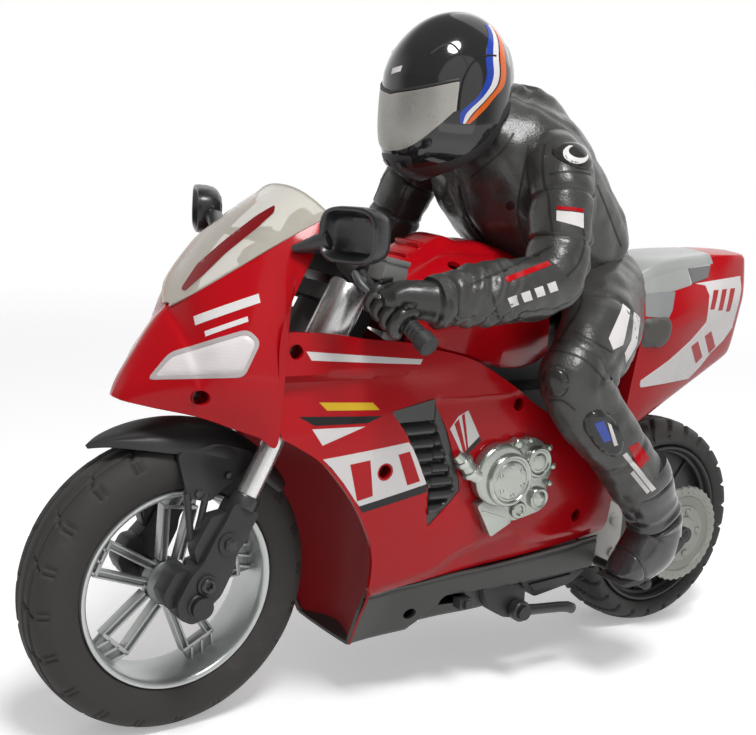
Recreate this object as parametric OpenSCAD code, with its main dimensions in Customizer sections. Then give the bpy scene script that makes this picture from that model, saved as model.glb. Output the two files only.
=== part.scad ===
// Radio-controlled sport motorcycle with a seated rider figure, about one sixth of full size.
// Millimetres. +X points forward, +Y to the rider's left, +Z up.
// The origin lies on the ground under the middle of the model.

/* [Wheels] */
// Distance between the two axles
wheelbase = 245; // [242:1:247]
// Outside diameter of the front wheel
front_d = 110; // [107:1:112]
// Width of the front tyre
front_w = 26; // [23:1:27]
// Outside diameter of the rear wheel
rear_d = 97; // [94:1:99]
// Width of the rear tyre
rear_w = 28; // [25:1:29]
// Diameter of both rims under the tyre
rim_d = 75; // [71:1:78]
// Diameter of both axles
axle_d = 4; // [3:0.5:5]

/* [Fork] */
// Angle of the fork from upright
fork_rake = 27.5; // [26.5:0.5:28.5]
// Distance between the two fork tubes
fork_span = 46; // [45:1:48]
// Diameter of a fork tube
tube_d = 8; // [7:0.5:8.5]
// Travel of the front suspension
fork_travel = 6; // [3:1:7]
// Distance of the steering axis behind the fork tubes
head_offset = 7; // [6:0.5:8]
// Diameter of the steering stem
stem_d = 10; // [8:0.5:11]

/* [Drive] */
// Tooth module of the drive gears
gear_mod = 1; // [0.95:0.05:1]
// Teeth of the gear on the rear axle
hub_teeth = 34; // [32:1:35]
// Width of the drive gears
gear_w = 4; // [3:0.5:4.5]
// Diameter of the drive motor
motor_d = 18; // [15:1:19]
// Diameter of the balancing flywheel
fly_d = 40; // [34:1:43]
// Width of the balancing flywheel
fly_w = 16; // [10:1:16]

/* [Body] */
// Width over the side fairings
body_w = 84; // [82:1:85]
// Wall of the moulded body panels
wall = 1.6; // [1.2:0.1:2]
// Diameter of a body screw head
screw_d = 4; // [3:0.5:5]
// Length of the side stand
stand_len = 28; // [24:1:29]
// Travel of the power switch
switch_travel = 2; // [1:0.5:3]
// Diameter of the handlebar tube
bar_d = 5; // [4:0.5:6]
// Thickness of the rubber grip
grip_t = 1; // [0.8:0.1:1.4]
// Diameter of the socket for a display pin
pin_d = 5; // [4:0.5:6]

/* [Fits] */
// Radial clearance of a turning or sliding fit
run_gap = 0.05; // [0.02:0.01:0.1]
// Radial clearance of a fixed fit
fix_gap = 0.02; // [0.01:0.01:0.04]
// Gap between neighbouring panels
part_gap = 0.3; // [0.2:0.05:0.5]

/* [Hidden] */
$fn = 48;
front_r = front_d / 2;
rear_r = rear_d / 2;
fa = [114, 0, front_r];
ra = [fa[0] - wheelbase, 0, rear_r];
shift = -(fa[0] + front_r + ra[0] - rear_r) / 2;
fork_y = fork_span / 2;
tube_r = tube_d / 2;
stem_r = stem_d / 2;
axle_r = axle_d / 2;
rim_r = rim_d / 2;
lower_y = 5.5;
lower_in = fork_y - lower_y;
lower_out = fork_y + lower_y;
tube_end = 24;
bore_end = tube_end - fork_travel - 8;
yoke_z = 70;
yoke_t = 7;
top_z = 117;
top_t = 6;
bracket_z = top_z + top_t + 4;
idler_teeth = 41;
pinion_teeth = 9;
gear_dir = 14;
hub_r = hub_teeth * gear_mod / 2;
idler_r = idler_teeth * gear_mod / 2;
pinion_r = pinion_teeth * gear_mod / 2;
idler_c = [ra[0] + (hub_r + idler_r) * cos(gear_dir), ra[2] + (hub_r + idler_r) * sin(gear_dir)];
pin_dist = hub_r + 2 * idler_r + pinion_r;
pinion_c = [ra[0] + pin_dist * cos(gear_dir), ra[2] + pin_dist * sin(gear_dir)];
plate_t = 3;
arm_y = rear_w / 2 + 2.2;
box_y = arm_y + plate_t;
gear_y = box_y + 0.6;
cover_y = gear_y + gear_w + 0.6;
sprocket_y = box_y + 6;
fly_c = [-14, 92];
fly_shaft_r = 1.5;
bar_a = [57, 28, fa[2] + 118];
lever_a = [63.5, 36, fa[2] + 116];
lever_dir = [-2, 30, -12];
bar_b = [51.6, 63.4, fa[2] + 98.6];
bar_dir = bar_b - bar_a;
bar_len = norm(bar_dir);
bar_r = bar_d / 2;
grip_r = bar_r + grip_t;
stand_p = [-27, 37.6, 33];
// Rear wall of the frame, rear end of its box and root of the swing arm, ahead of the rear axle
back_x = ra[0] + 53;
box_x = ra[0] + 75;
root_x = ra[0] + 78;
bay_gap = 8;
// Lower end and wall of the socket for the display pin, which stands in a hole of the belly pan
pin_z = 32.4;
pin_wall = 2.5;
// Inner face and thickness of the footrest plates, and the gap from them to the rear body screws
rest_y = 27.2;
rest_t = 2.4;
screw_gap = 1.4;
// Height of the dash over the front axle
dash_z = fa[2] + 122.8;
lean = [0.61, 0, 0.79];

// Colours
red = [0.72, 0.04, 0.05];
black = [0.05, 0.05, 0.055];
grey = [0.25, 0.25, 0.27];
pale = [0.72, 0.73, 0.74];

// Helpers
function lerp(a, b, t) = a + (b - a) * t;
function unit(v) = v / norm(v);
function flat(g) = [for (r = g) each r];
function rev(l) = [for (i = [len(l) - 1 : -1 : 0]) l[i]];

// Triangles of one layer of a grid
function layer(nu, nv, o, up) = [for (i = [0 : nu - 2]) for (j = [0 : nv - 2])
    let (a = o + i * nv + j, b = a + 1, c = a + nv, d = c + 1)
    each up ? [[a, d, b], [a, c, d]] : [[a, b, d], [a, d, c]]];

// Wall triangles along a chain of outer points, n is the step to the inner layer
function skirt(k, n) = [for (i = [0 : len(k) - 2])
    each [[k[i], k[i + 1], k[i + 1] + n], [k[i], k[i + 1] + n, k[i] + n]]];

// Closed sheet between two grids of points
module sheet(outer, inner) {
    nu = len(outer);
    nv = len(outer[0]);
    n = nu * nv;
    polyhedron(points = concat(flat(outer), flat(inner)), faces = concat(
        layer(nu, nv, 0, true), layer(nu, nv, n, false),
        skirt([for (i = [nu - 1 : -1 : 0]) i * nv], n),
        skirt([for (i = [0 : nu - 1]) i * nv + nv - 1], n),
        skirt([for (j = [0 : nv - 1]) j], n),
        skirt([for (j = [nv - 1 : -1 : 0]) (nu - 1) * nv + j], n)));
}

// Solid through a row of closed rings
module loft(rings) {
    n = len(rings[0]);
    m = len(rings);
    e = (m - 1) * n;
    polyhedron(points = flat(rings), faces = concat(
        [for (i = [0 : m - 2]) for (j = [0 : n - 1])
            let (a = i * n + j, b = i * n + (j + 1) % n, c = a + n, d = b + n)
            each [[a, d, b], [a, c, d]]],
        [for (j = [1 : n - 2]) [0, j, j + 1]],
        [for (j = [1 : n - 2]) [e, e + j + 1, e + j]]));
}

// Oval ring round c, square to t: p is its half size in the upright plane, q sideways
function ring(c, t, p, q, n) = let (w = unit(t), u = unit(cross([0, 1, 0], w)), v = cross(w, u))
    [for (i = [0 : n - 1]) c + p * cos(i * 360 / n) * u + q * sin(i * 360 / n) * v];

// Limb through stations [x, y, z, p, q]
function spot(s) = [s[0], s[1], s[2]];
module limb(st, n = 14) {
    k = len(st) - 1;
    loft([for (i = [0 : k]) ring(spot(st[i]),
        spot(st[min(i + 1, k)]) - spot(st[max(i - 1, 0)]), st[i][3], st[i][4], n)]);
}

module at_fork() {
    translate(fa) rotate([0, -fork_rake, 0]) children();
}

// Rod along Y through a point of the side view
module rod(c, y0, y1, r) {
    translate([c[0], y0, c[1]]) rotate([-90, 0, 0]) cylinder(r = r, h = y1 - y0);
}

// Plate with an outline in the side view
module plate(pts, y0, y1) {
    translate([0, y1, 0]) rotate([90, 0, 0]) linear_extrude(y1 - y0) polygon(pts);
}

module block(a, b) {
    translate(a) cube(b - a);
}

// Points the local Z axis along d from p
module aim(p, d) {
    translate(p) rotate([0, acos(d[2] / norm(d)), atan2(d[1], d[0])]) children();
}

module at_wheel(c) {
    translate(c) rotate([-90, 0, 0]) children();
}

// Body surface: half width of the fairing at a point of the side view
function side_y(x, z) = body_w / 2 - 6 * pow((z - 110) / 60, 2) - 3.5 * pow(max(0, x - 20) / 70, 2)
    - 4 * pow(max(0, -20 - x) / 55, 2);
front_edge = [[24, 44], [34, 46], [46, 47.6], [60, 47.6], [71, 49.8], [80, 54], [89, 59.4], [98, 66.4], [106, 74],
    [112, 83], [115.5, 89.4], [153, 86.2]];
function front_x(z) = lookup(z, front_edge);
low_edge = [[-75, 59.7], [-30, 56.5], [6, 54.3], [34.6, 51.1], [45, 49.6]];
top_edge = [[-75, 100], [-35, 112], [-10, 124], [10, 140], [31, 145.5], [41, 148], [59, 150], [71, 152], [91, 153]];
rear_x = ra[0] + 56;

// Front cowl stations: lower point, upper point, bulge
cowl = [
    [[137.4, 0, 126.4], [136.4, 0, 128.6], 0],
    [[135.2, 6, 125.7], [132.6, 0, 136.2], 1.5],
    [[128, 13, 124.5], [126.9, 0, 145.5], 3.5],
    [[120, 20.5, 123.5], [121.5, 0, 153.2], 5.5],
    [[114.5, 25, 122.4], [118, 0.0, 157], 7],
    [[106.5, 30.5, 119.6], [112.8, 12, 163.8], 8],
    [[98, 34.5, 116.6], [101, 20.5, 173.6], 7.5],
    [[91, 37.8, 115.2], [89.7, 25, 181.6], 5],
    [[86, 36.6, 171.5], [69.4, 27, 192.2], 1]];
cowl_rows = 8;
function cowl_mid(s, v) = lerp(s[0], s[1], v) + [0, s[2] * sin(180 * v), 0];
function cowl_in(p) = p + wall * unit([80, 0, 146] - p);

// Tank stations: X, half width at the lower edge, lower edge height, top height, shoulder half width
tank = [
    [38.4, 36, 148.4, 172, 21],
    [35, 37.6, 147.6, 178.4, 24],
    [25, 38.5, 145.2, 182, 27],
    [11, 38, 141.6, 183.6, 27],
    [-4, 35, 137, 181, 24],
    [-20, 30, 134, 178.5, 20],
    [-34, 25, 134, 172, 15],
    [-44, 21, 136, 160, 12]];
function tank_ring(s, g) = [for (k = [0 : 12]) let (a = k * 15,
    e = 0.62, c = cos(a), m = pow(abs(c), e) * sign(c), h = pow(sin(a), e))
    [s[0] + (s[0] > 0 ? -g * 0.4 : g * 0.4), m * (s[1] - g), s[2] + h * (s[3] - s[2] - g)]];

// Tail stations: X, half width at the lower edge, lower height, half width at the waist, top height
tail = [
    [-97, 15, 104, 21, 166],
    [-108, 16, 105, 23, 173],
    [-122, 16, 110.6, 23.5, 175.6],
    [-138, 15, 116, 20, 176.6],
    [-154, 13, 121, 15.5, 176.4],
    [-169, 10, 126, 10.5, 174.5]];
function tail_half(s, g) = [[s[1] - g, s[2]], [s[3] - g, s[2] + 0.32 * (s[4] - s[2])],
    [s[3] + 0.8 - g, s[2] + 0.6 * (s[4] - s[2])], [s[3] - 1 - g, s[4] - 9], [s[3] * 0.7 - g, s[4] - 2 - g * 0.8]];
function tail_ring(s, g) = let (h = tail_half(s, g)) concat(
    [for (p = h) [s[0], p[0], p[1]]], [[s[0], 0, s[4] - g]], [for (p = rev(h)) [s[0], -p[0], p[1]]]);

// Helmet slices: height, centre X, half length, half width
helm = [
    [203.5, 5, 13, 12], [207, 4, 21, 17.5], [213, 2, 25.5, 21.5], [224, 0.5, 27.6, 24], [236, 0, 28, 24.6],
    [248, -1, 26, 23], [256.5, -1.5, 21, 19], [263, -2, 14.5, 13.5], [266.6, -2, 7.5, 7], [268, -2, 2, 2]];
module helm_solid(g) {
    loft([for (s = helm) [for (i = [0 : 19]) [s[1] + (s[2] + g) * cos(i * 18), (s[3] + g) * sin(i * 18),
        s[0] + (s[0] < 210 ? -g : s[0] > 260 ? g : 0)]]]);
}

// Frame
module main_frame() {
    color(grey) difference() {
        union() {
            at_fork() translate([-head_offset, 0, yoke_z + yoke_t + part_gap])
                cylinder(r = stem_r + 4, h = top_z - yoke_z - yoke_t - 2 * part_gap);
            at_fork() block([-head_offset - 17, -10, 95], [-head_offset - 11, 10, bracket_z]);
            at_fork() block([-head_offset - 12, -6.5, 84], [-head_offset - 3, 6.5, 104]);
            plate([[64, 146], [52, 124], [40, 119], [back_x, 119], [back_x, 131], [34, 133]], -8, 8);
            block([back_x, -25, 119], [36, 25, 122]);
            plate([[36, 122], [back_x, 122], [back_x, 84], [box_x, 78], [box_x, 44], [28, 44], [35, 70]], 22, 25);
            plate([[36, 122], [back_x, 122], [back_x, 84], [box_x, 78], [box_x, 44], [28, 44], [35, 70]], -25, -22);
            block([box_x, -25, 44], [28, 25, 47]);
            block([back_x, -25, 80], [back_x + 3, 25, 121]);
            plate([[root_x, 45], [root_x, 82], [back_x, 88], [ra[0] - 6, ra[2] + 6], [ra[0] - 6, ra[2] - 6]],
                arm_y, box_y);
            plate([[root_x, 45], [root_x, 82], [back_x, 88], [ra[0] - 6, ra[2] + 6], [ra[0] - 6, ra[2] - 6]],
                -box_y, -arm_y);
            block([back_x, arm_y, 85], [back_x + 10, 25, 90]);
            block([back_x, -25, 85], [back_x + 10, -arm_y, 90]);
            block([box_x, arm_y, 45], [root_x, 25, 82]);
            block([box_x, -25, 45], [root_x, -arm_y, 82]);
            rod([ra[0], ra[2]], arm_y, box_y, 8);
            rod([ra[0], ra[2]], -box_y, -arm_y, 8);
            rod(idler_c, -cover_y, -arm_y, 2);
            plate([[back_x + 3, 120], [-98, 123], [-150, 146], [-150, 154], [-98, 131], [back_x + 3, 131]], -7, 7);
            translate([-128, 0, 140]) cylinder(r = 3, h = 33.6);
            translate([-5, 0, pin_z]) cylinder(r = pin_d / 2 + pin_wall, h = 44.6 - pin_z);
        }
        at_fork() translate([-head_offset, 0, 60]) cylinder(r = stem_r + run_gap, h = 60);
        rod([ra[0], ra[2]], arm_y - 1, box_y + 1, axle_r + run_gap);
        rod([ra[0], ra[2]], -box_y - 1, -arm_y + 1, axle_r + run_gap);
        rod(pinion_c, -box_y - 1, -arm_y + 1, 2.4);
        rod(fly_c, -26, -20, fly_shaft_r + run_gap);
        translate([-5, 0, pin_z - 1]) cylinder(r = pin_d / 2, h = 44 - pin_z);
        plate([[18, 112], [-2, 116], [12, 78]], -30, 30);
        plate([[box_x + 12, 112], [box_x - 12, 112], [box_x + 4, 80]], -30, 30);
    }
}

// Steering and fork
module yoke_body(z, t) {
    translate([0, fork_y, z]) cylinder(r = tube_r + 3, h = t);
    translate([0, -fork_y, z]) cylinder(r = tube_r + 3, h = t);
    block([-5, -fork_y, z], [5, fork_y, z + t]);
    translate([-head_offset, 0, z]) cylinder(r = stem_r + 3, h = t);
}
module tube_bores(z, t) {
    for (s = [-1, 1]) translate([0, s * fork_y, z - 1]) cylinder(r = tube_r + fix_gap, h = t + 2);
}
module steering_stem() {
    color(black) at_fork() difference() {
        union() {
            yoke_body(yoke_z, yoke_t);
            translate([-head_offset, 0, yoke_z]) cylinder(r = stem_r, h = top_z + top_t - yoke_z);
            block([-head_offset - 14, -2.5, yoke_z], [-head_offset, 2.5, yoke_z + 4]);
        }
        tube_bores(yoke_z, yoke_t);
    }
}
module top_yoke() {
    color(black) at_fork() difference() {
        yoke_body(top_z, top_t);
        tube_bores(top_z, top_t);
        translate([-head_offset, 0, top_z - 1]) cylinder(r = stem_r + fix_gap, h = top_t + 2);
    }
}
module fork_tube(s) {
    color(pale) at_fork() translate([0, s * fork_y, tube_end]) cylinder(r = tube_r, h = top_z + top_t - tube_end);
}
module fork_lower(s) {
    color(black) at_fork() difference() {
        union() {
            block([-5.5, s * fork_y - lower_y, 0], [5.5, s * fork_y + lower_y, 46]);
            translate([0, s * fork_y - lower_y, 0]) rotate([-90, 0, 0]) cylinder(r = 8, h = 2 * lower_y);
            translate([0, s * fork_y, 44]) cylinder(r = tube_r + 1.5, h = 4);
            block([4, s * fork_y - 3.5, 16], [9, s * fork_y + 3.5, 34]);
        }
        translate([0, s * fork_y, bore_end]) cylinder(r = tube_r + run_gap, h = 60);
        translate([0, -40, 0]) rotate([-90, 0, 0]) cylinder(r = axle_r + fix_gap, h = 80);
    }
}
module front_fender() {
    r = front_r;
    w = front_w / 2;
    color(black) {
        at_wheel(fa) rotate([0, 0, -143]) rotate_extrude(angle = 81, $fn = 96) polygon([
            [r - 4, w + 2.6], [r + 2, w + 2], [r + 5, w - 3], [r + 5.6, 0], [r + 5, 3 - w], [r + 2, -w - 2],
            [r - 4, -w - 2.6], [r - 4, -w - 1.4], [r + 1.4, -w - 0.9], [r + 3.8, 3.6 - w], [r + 4.2, 0],
            [r + 3.8, w - 3.6], [r + 1.4, w + 0.9], [r - 4, w + 1.4]]);
        at_fork() for (s = [0, 1]) mirror([0, s, 0])
            block([-6, w + 1.6, 34], [9, lower_in, r + 1]);
    }
}
module front_axle() {
    color(pale) {
        rod([fa[0], fa[2]], -lower_out - 1, lower_out + 1, axle_r);
        rod([fa[0], fa[2]], lower_out, lower_out + 2.4, 4);
        rod([fa[0], fa[2]], -lower_out - 2.4, -lower_out, 4);
        rod([fa[0], fa[2]], 10.4, lower_in, axle_r + 1.4);
        rod([fa[0], fa[2]], -lower_in, -10.4, axle_r + 1.4);
    }
}
module tyre_ring(r, w) {
    color(black) rotate_extrude($fn = 120) polygon([[rim_r, -8], [rim_r + 2.5, -w + 2.2], [r - 10, -w],
        [r - 5, -w + 0.9], [r - 1.6, -w * 0.6], [r, -w * 0.22], [r, w * 0.22], [r - 1.6, w * 0.6],
        [r - 5, w - 0.9], [r - 10, w], [rim_r + 2.5, w - 2.2], [rim_r, 8]]);
}
module rim_ring(h) {
    rotate_extrude($fn = 120) polygon([[rim_r - 5, -h], [rim_r - 0.6, -h], [rim_r - 0.6, -8.4],
        [rim_r - fix_gap, -8.2], [rim_r - fix_gap, 8.2], [rim_r - 0.6, 8.4], [rim_r - 0.6, h],
        [rim_r - 5, h], [rim_r - 3.2, 0]]);
}
module front_rim() {
    color(pale) at_wheel(fa) difference() {
        union() {
            rim_ring(9.6);
            cylinder(r = 8, h = 20, center = true);
            for (i = [0 : 4]) rotate([0, 0, i * 72 + 18]) {
                for (s = [-1, 1]) rotate([0, 0, s * 10]) block([5, -1.4, -4], [rim_r - 3.6, 1.4, 4]);
                block([rim_r - 9, -5.5, -4.4], [rim_r - 3.8, 5.5, 4.4]);
            }
        }
        cylinder(r = axle_r + run_gap, h = 40, center = true);
    }
}
module front_tyre() {
    at_wheel(fa) tyre_ring(front_r, front_w / 2);
}

// Rear wheel and drive
module rear_axle() {
    color(pale) {
        rod([ra[0], ra[2]], -cover_y + 0.4, sprocket_y + 4, axle_r);
        rod([ra[0], ra[2]], sprocket_y + 3, sprocket_y + 5, axle_r + 1.6);
    }
}
module rear_rim() {
    color(black) at_wheel(ra) difference() {
        union() {
            rim_ring(10);
            cylinder(r = 9, h = 2 * (arm_y - 0.6), center = true);
            for (i = [0 : 5]) rotate([0, 0, i * 60]) {
                block([6, -1.8, -5], [24, 1.8, 5]);
                for (s = [-1, 1]) translate([22, 0, 0]) rotate([0, 0, s * 28]) block([0, -1.2, -4], [12.2, 1.2, 4]);
            }
        }
        cylinder(r = axle_r + fix_gap, h = 60, center = true);
    }
}
module rear_tyre() {
    at_wheel(ra) tyre_ring(rear_r, rear_w / 2);
}
module rear_sprocket() {
    color(pale) at_wheel(ra) difference() {
        union() {
            translate([0, 0, sprocket_y]) cylinder(r = 19.2, h = 2.6);
            translate([0, 0, box_y + 0.6]) cylinder(r = 5.5, h = sprocket_y + 3 - box_y - 0.6);
        }
        cylinder(r = axle_r + fix_gap, h = 60);
        for (i = [0 : 9]) rotate([0, 0, i * 36]) translate([15.8, 0, 0]) cylinder(r = 1.1, h = 60, $fn = 24);
    }
}
module gear(z, w, hole) {
    r = z * gear_mod / 2;
    h = gear_mod;
    linear_extrude(w) difference() {
        polygon([for (i = [0 : z - 1]) let (a = i * 360 / z, q = 360 / z)
            each [[(r - 1.2 * h) * cos(a - 0.33 * q), (r - 1.2 * h) * sin(a - 0.33 * q)],
            [r * cos(a - 0.235 * q), r * sin(a - 0.235 * q)],
            [(r + 0.9 * h) * cos(a - 0.11 * q), (r + 0.9 * h) * sin(a - 0.11 * q)],
            [(r + 0.9 * h) * cos(a + 0.11 * q), (r + 0.9 * h) * sin(a + 0.11 * q)],
            [r * cos(a + 0.235 * q), r * sin(a + 0.235 * q)],
            [(r - 1.2 * h) * cos(a + 0.33 * q), (r - 1.2 * h) * sin(a + 0.33 * q)]]]);
        circle(r = hole);
    }
}
module gear_at(c, z, turn, hole) {
    translate([c[0], -gear_y, c[1]]) rotate([90, 0, 0]) rotate([0, 0, turn]) gear(z, gear_w, hole);
}
module hub_gear() {
    color(pale) {
        gear_at([ra[0], ra[2]], hub_teeth, gear_dir, axle_r + fix_gap);
    }
}
module idler_gear() {
    color([0.85, 0.83, 0.75]) gear_at(idler_c, idler_teeth, gear_dir + 180 + 180 / idler_teeth, 2 + run_gap);
}
module motor_pinion() {
    color([0.78, 0.62, 0.25]) {
        gear_at(pinion_c, pinion_teeth, gear_dir + 180 + 180 / pinion_teeth, 0.6);
        rod(pinion_c, -gear_y - gear_w, -arm_y + 6, 1);
    }
}
module gearbox_cover() {
    function arc(c, r, a0, a1) = [for (i = [0 : 8]) let (a = a0 + (a1 - a0) * i / 8) [c[0] + r * cos(a), c[1] + r * sin(a)]];
    function edge(g) = concat(arc(pinion_c, pinion_r + 5 + g, gear_dir - 50, gear_dir + 50),
        arc(idler_c, idler_r + 2.6 + g, gear_dir + 60, gear_dir + 95),
        arc([ra[0], ra[2]], hub_r + 2.6 + g, gear_dir + 95, gear_dir + 265),
        arc(idler_c, idler_r + 2.6 + g, gear_dir + 265, gear_dir + 300));
    color(black) difference() {
        plate(edge(1.6), -cover_y - 2, -box_y - 0.05);
        plate(edge(0), -cover_y, -box_y);
        rod(idler_c, -cover_y - 3, -cover_y + 2, 2 + fix_gap);
    }
}
module drive_motor() {
    color(pale) difference() {
        union() {
            rod(pinion_c, -arm_y, 10, motor_d / 2);
            rod(pinion_c, 10, 12.5, 3);
        }
        rod(pinion_c, -arm_y - 1, -arm_y + 7, 1 + run_gap);
    }
}
module flywheel() {
    color([0.62, 0.55, 0.4]) {
        rod(fly_c, -24.6, 12, fly_shaft_r);
        rod(fly_c, -3, 3, fly_d / 2 - 1);
        difference() {
            rod(fly_c, -fly_w / 2, fly_w / 2, fly_d / 2);
            rod(fly_c, -fly_w, -2.5, fly_d / 2 - 5);
            rod(fly_c, 2.5, fly_w, fly_d / 2 - 5);
        }
    }
}
module flywheel_motor() {
    color(pale) difference() {
        rod(fly_c, 9, 22, 9);
        rod(fly_c, 8, 14, fly_shaft_r + run_gap);
    }
}
module battery_pack() {
    color([0.15, 0.3, 0.6]) block([box_x + bay_gap, -17, 47], [26, 17, 66]);
}
module control_board() {
    color([0.1, 0.35, 0.2]) {
        block([2, -22, 74], [34, -20.4, 112]);
        block([8, -20.5, 80], [20, -18.6, 90]);
        block([14, -20.5, 96], [30, -17, 104]);
        block([24, -20.5, 78], [30, -12, 84]);
    }
}
module steering_servo() {
    color(black) {
        block([6, 8.1, 122], [32, 21, 138]);
        block([2, 8.1, 131], [36, 21, 133]);
        translate([26, 14.5, 137]) cylinder(r = 5, h = 3);
        translate([26, 14.5, 139]) cylinder(r = 2, h = 4);
    }
}

// Body panels
module front_cowl() {
    left = [for (s = rev(cowl)) [for (j = [0 : cowl_rows]) cowl_mid(s, j / cowl_rows)]];
    inner = [for (r = left) [for (p = r) cowl_in(p)]];
    color(red) for (m = [0, 1]) mirror([0, m, 0]) sheet(left, inner);
}
function shield_row(l, top, g) = [for (k = [0 : 10]) let (a = 180 * k / 10, y = (l[1] - g * 0.3) * cos(a))
    [lerp(l[0], top[0], sin(a)) - g * 0.6, y, lerp(l[2], top[1], sin(a)) + part_gap + 0.9 - g * 0.75]];
module windshield() {
    st = [[[117.6, 2.4, 158], [117.4, 158.8]], [[112.8, 12, 164.2], [109.5, 168.6]],
        [[101, 20.5, 174], [98.5, 180.5]], [[89.7, 25, 182], [86.5, 191.5]], [[69.4, 27, 192.6], [73, 200.6]]];
    color([0.75, 0.7, 0.62, 0.6]) sheet([for (s = rev(st)) shield_row(s[0], s[1], 0)],
        [for (s = rev(st)) shield_row(s[0], s[1], 1.3)]);
}
module headlight() {
    // Lens corners in station and row numbers of the cowl
    g = [for (c = [6.3, 6, 5, 4, 3, 2]) [for (j = [0 : 2]) let (v = (4 + j) / cowl_rows, k = floor(c))
        lerp(cowl_mid(cowl[k], v), cowl_mid(cowl[k + 1], v), c - k)]];
    color(pale) sheet([for (r = g) [for (p = r) p + [0.8, 1.4, 0.5]]], [for (r = g) [for (p = r) p + [0.3, 0.5, 0.2]]]);
}
function fair(s, v) = let (x0 = front_x(46), xm = lerp(44, rear_x, s),
    z0 = lookup(xm, low_edge), x1 = lerp(90.4, rear_x, s), z1 = lookup(x1, top_edge),
    z = lerp(z0, z1, v), x = lerp(front_x(lerp(46, 153, (z - z0) / (z1 - z0))), rear_x, s))
    [x, side_y(x, z), z];
module side_panel() {
    n = 13;
    m = 13;
    g = [for (i = [n : -1 : 0]) [for (j = [0 : m]) fair(pow(i / n, 1.25), j / m)]];
    sheet(g, [for (r = g) [for (p = r) p - [0, wall, 0]]]);
}
duct = [[24.5, 42.5, 16], [34, 40, 24], [46.6, 37, 33], [60, 36.4, 31], [80, 38, 32], [92, 43, 32.5], [101, 51, 33]];
module duct_panel() {
    g = [for (s = duct) let (x1 = front_x(s[0]) - 0.6, y1 = s[0] < 46 ? s[2] : side_y(x1, s[0]) - 0.7)
        [[s[1], part_gap / 2, s[0]], [s[1] + 0.3, y1 * 0.35, s[0]], [lerp(s[1], x1, 0.45), y1 * 0.72, s[0]], [x1, y1, s[0]]]];
    gi = [for (r = g) [for (p = r) p - [wall, 0, 0]]];
    sheet(g, gi);
}
vent_pts = [[46, 122.8], [26.8, 126.3], [12.3, 94], [11.3, 89.1], [25.3, 75.8], [28.4, 88.7], [33.9, 103.6], [39.3, 113.3]];
vent_mid = [28, 101];
function shrink(pts, c, g) = [for (p = pts) p - g * unit(p - c)];
screw_spots = [[77, 143], [31, 64], [-6, 116]];
rear_screw = [-62, 72];
module side_fairing() {
    color(red) difference() {
        union() {
            side_panel();
            duct_panel();
        }
        plate(vent_pts, 30, 60);
        for (p = concat(screw_spots, [rear_screw])) rod(p, 20, 60, screw_d / 2 + part_gap);
    }
}
module vent() {
    color(black) difference() {
        plate(shrink(vent_pts, vent_mid, part_gap * 1.5), body_w / 2 - 3.6, body_w / 2 - 1.4);
        for (i = [0 : 4]) let (z = 88 + i * 6.6, x = 15.5 + i * 2.3)
            plate([[x, z], [x + 12, z - 1.2], [x + 13, z + 1.6], [x + 1, z + 2.8]], 30, 60);
    }
}
cover_pts = [[5.4, 93.2], [0.7, 104.6], [-10.2, 108.1], [-28.6, 101.8], [-34.8, 92.4], [-32.9, 80.6],
    [-22, 77.6], [-12.9, 75.4], [-2.4, 70.3], [1.7, 76.7], [3.8, 83]];
module engine_cover() {
    y = body_w / 2 + part_gap * 0.5;
    color(pale) {
        plate(cover_pts, y, y + 2.6);
        rod([-8, 92.6], y + 1, y + 5.4, 9.6);
        rod([-24.8, 97.4], y + 1, y + 4.2, 5.2);
        rod([-24.6, 82.6], y + 1, y + 3.8, 3);
        rod([-13.5, 79.6], y + 1, y + 3.8, 2.6);
    }
}
pan = [
    [39.8, 31, 48.9, 17, 24.6], [34, 33, 50, 21, 26.2], [20, 35.5, 51.5, 27, 29.4], [6.5, 37, 53.1, 30, 31.4],
    [-14, 38, 54.3, 32, 32.4], [-32, 38, 55.5, 33, 34.6], [ra[0] + 80, 37, 56.8, 33, 37.2], [ra[0] + 62, 35.8, 58.1, 32, 40]];
function pan_row(s, g) = let (y0 = s[1], z0 = s[2], y1 = s[3], z1 = s[4]) concat(
    [for (k = [0 : 3]) [s[0], lerp(y0, y1 + 1, k / 3) - g + (k == 0 ? 0 : 1.2 * sin(60 * k)), lerp(z0, z1 + 2, k / 3) + (k == 3 ? g : 0)]],
    [[s[0], y1 - 2 - g * 0.5, z1 + g], [s[0], 0, z1 - 0.4 + g], [s[0], -y1 + 2 + g * 0.5, z1 + g]],
    [for (k = [3 : -1 : 0]) [s[0], -lerp(y0, y1 + 1, k / 3) + g - (k == 0 ? 0 : 1.2 * sin(60 * k)), lerp(z0, z1 + 2, k / 3) + (k == 3 ? g : 0)]]);
switch_p = [1.6, 40];
module belly_pan() {
    color(grey) difference() {
        union() {
            sheet([for (s = pan) pan_row(s, 0)], [for (s = pan) pan_row(s, wall)]);
            rod([stand_p[0], stand_p[2] + 3], 28, stand_p[1] - 2.6, 4.6);
        }
        block([switch_p[0] - 5.5, 26, switch_p[1] - 2.4], [switch_p[0] + 5.5, 50, switch_p[1] + 2.4]);
        translate([-5, 0, 20]) cylinder(r = pin_d / 2 + pin_wall + part_gap, h = 30);
        rod([23.4, 37.5], 20, 60, screw_d / 2 + part_gap);
        rod([23.4, 37.5], -60, -20, screw_d / 2 + part_gap);
        rod([stand_p[0], stand_p[2]], 20, 60, 1.5);
    }
}
module power_switch() {
    color(black) {
        block([switch_p[0] - 3 - switch_travel / 2, 32.2, switch_p[1] - 2], [switch_p[0] + 3 - switch_travel / 2, 36.6, switch_p[1] + 2]);
        block([switch_p[0] - 1 - switch_travel / 2, 36, switch_p[1] - 1.6], [switch_p[0] + 1 - switch_travel / 2, 38, switch_p[1] + 1.6]);
    }
}
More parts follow.
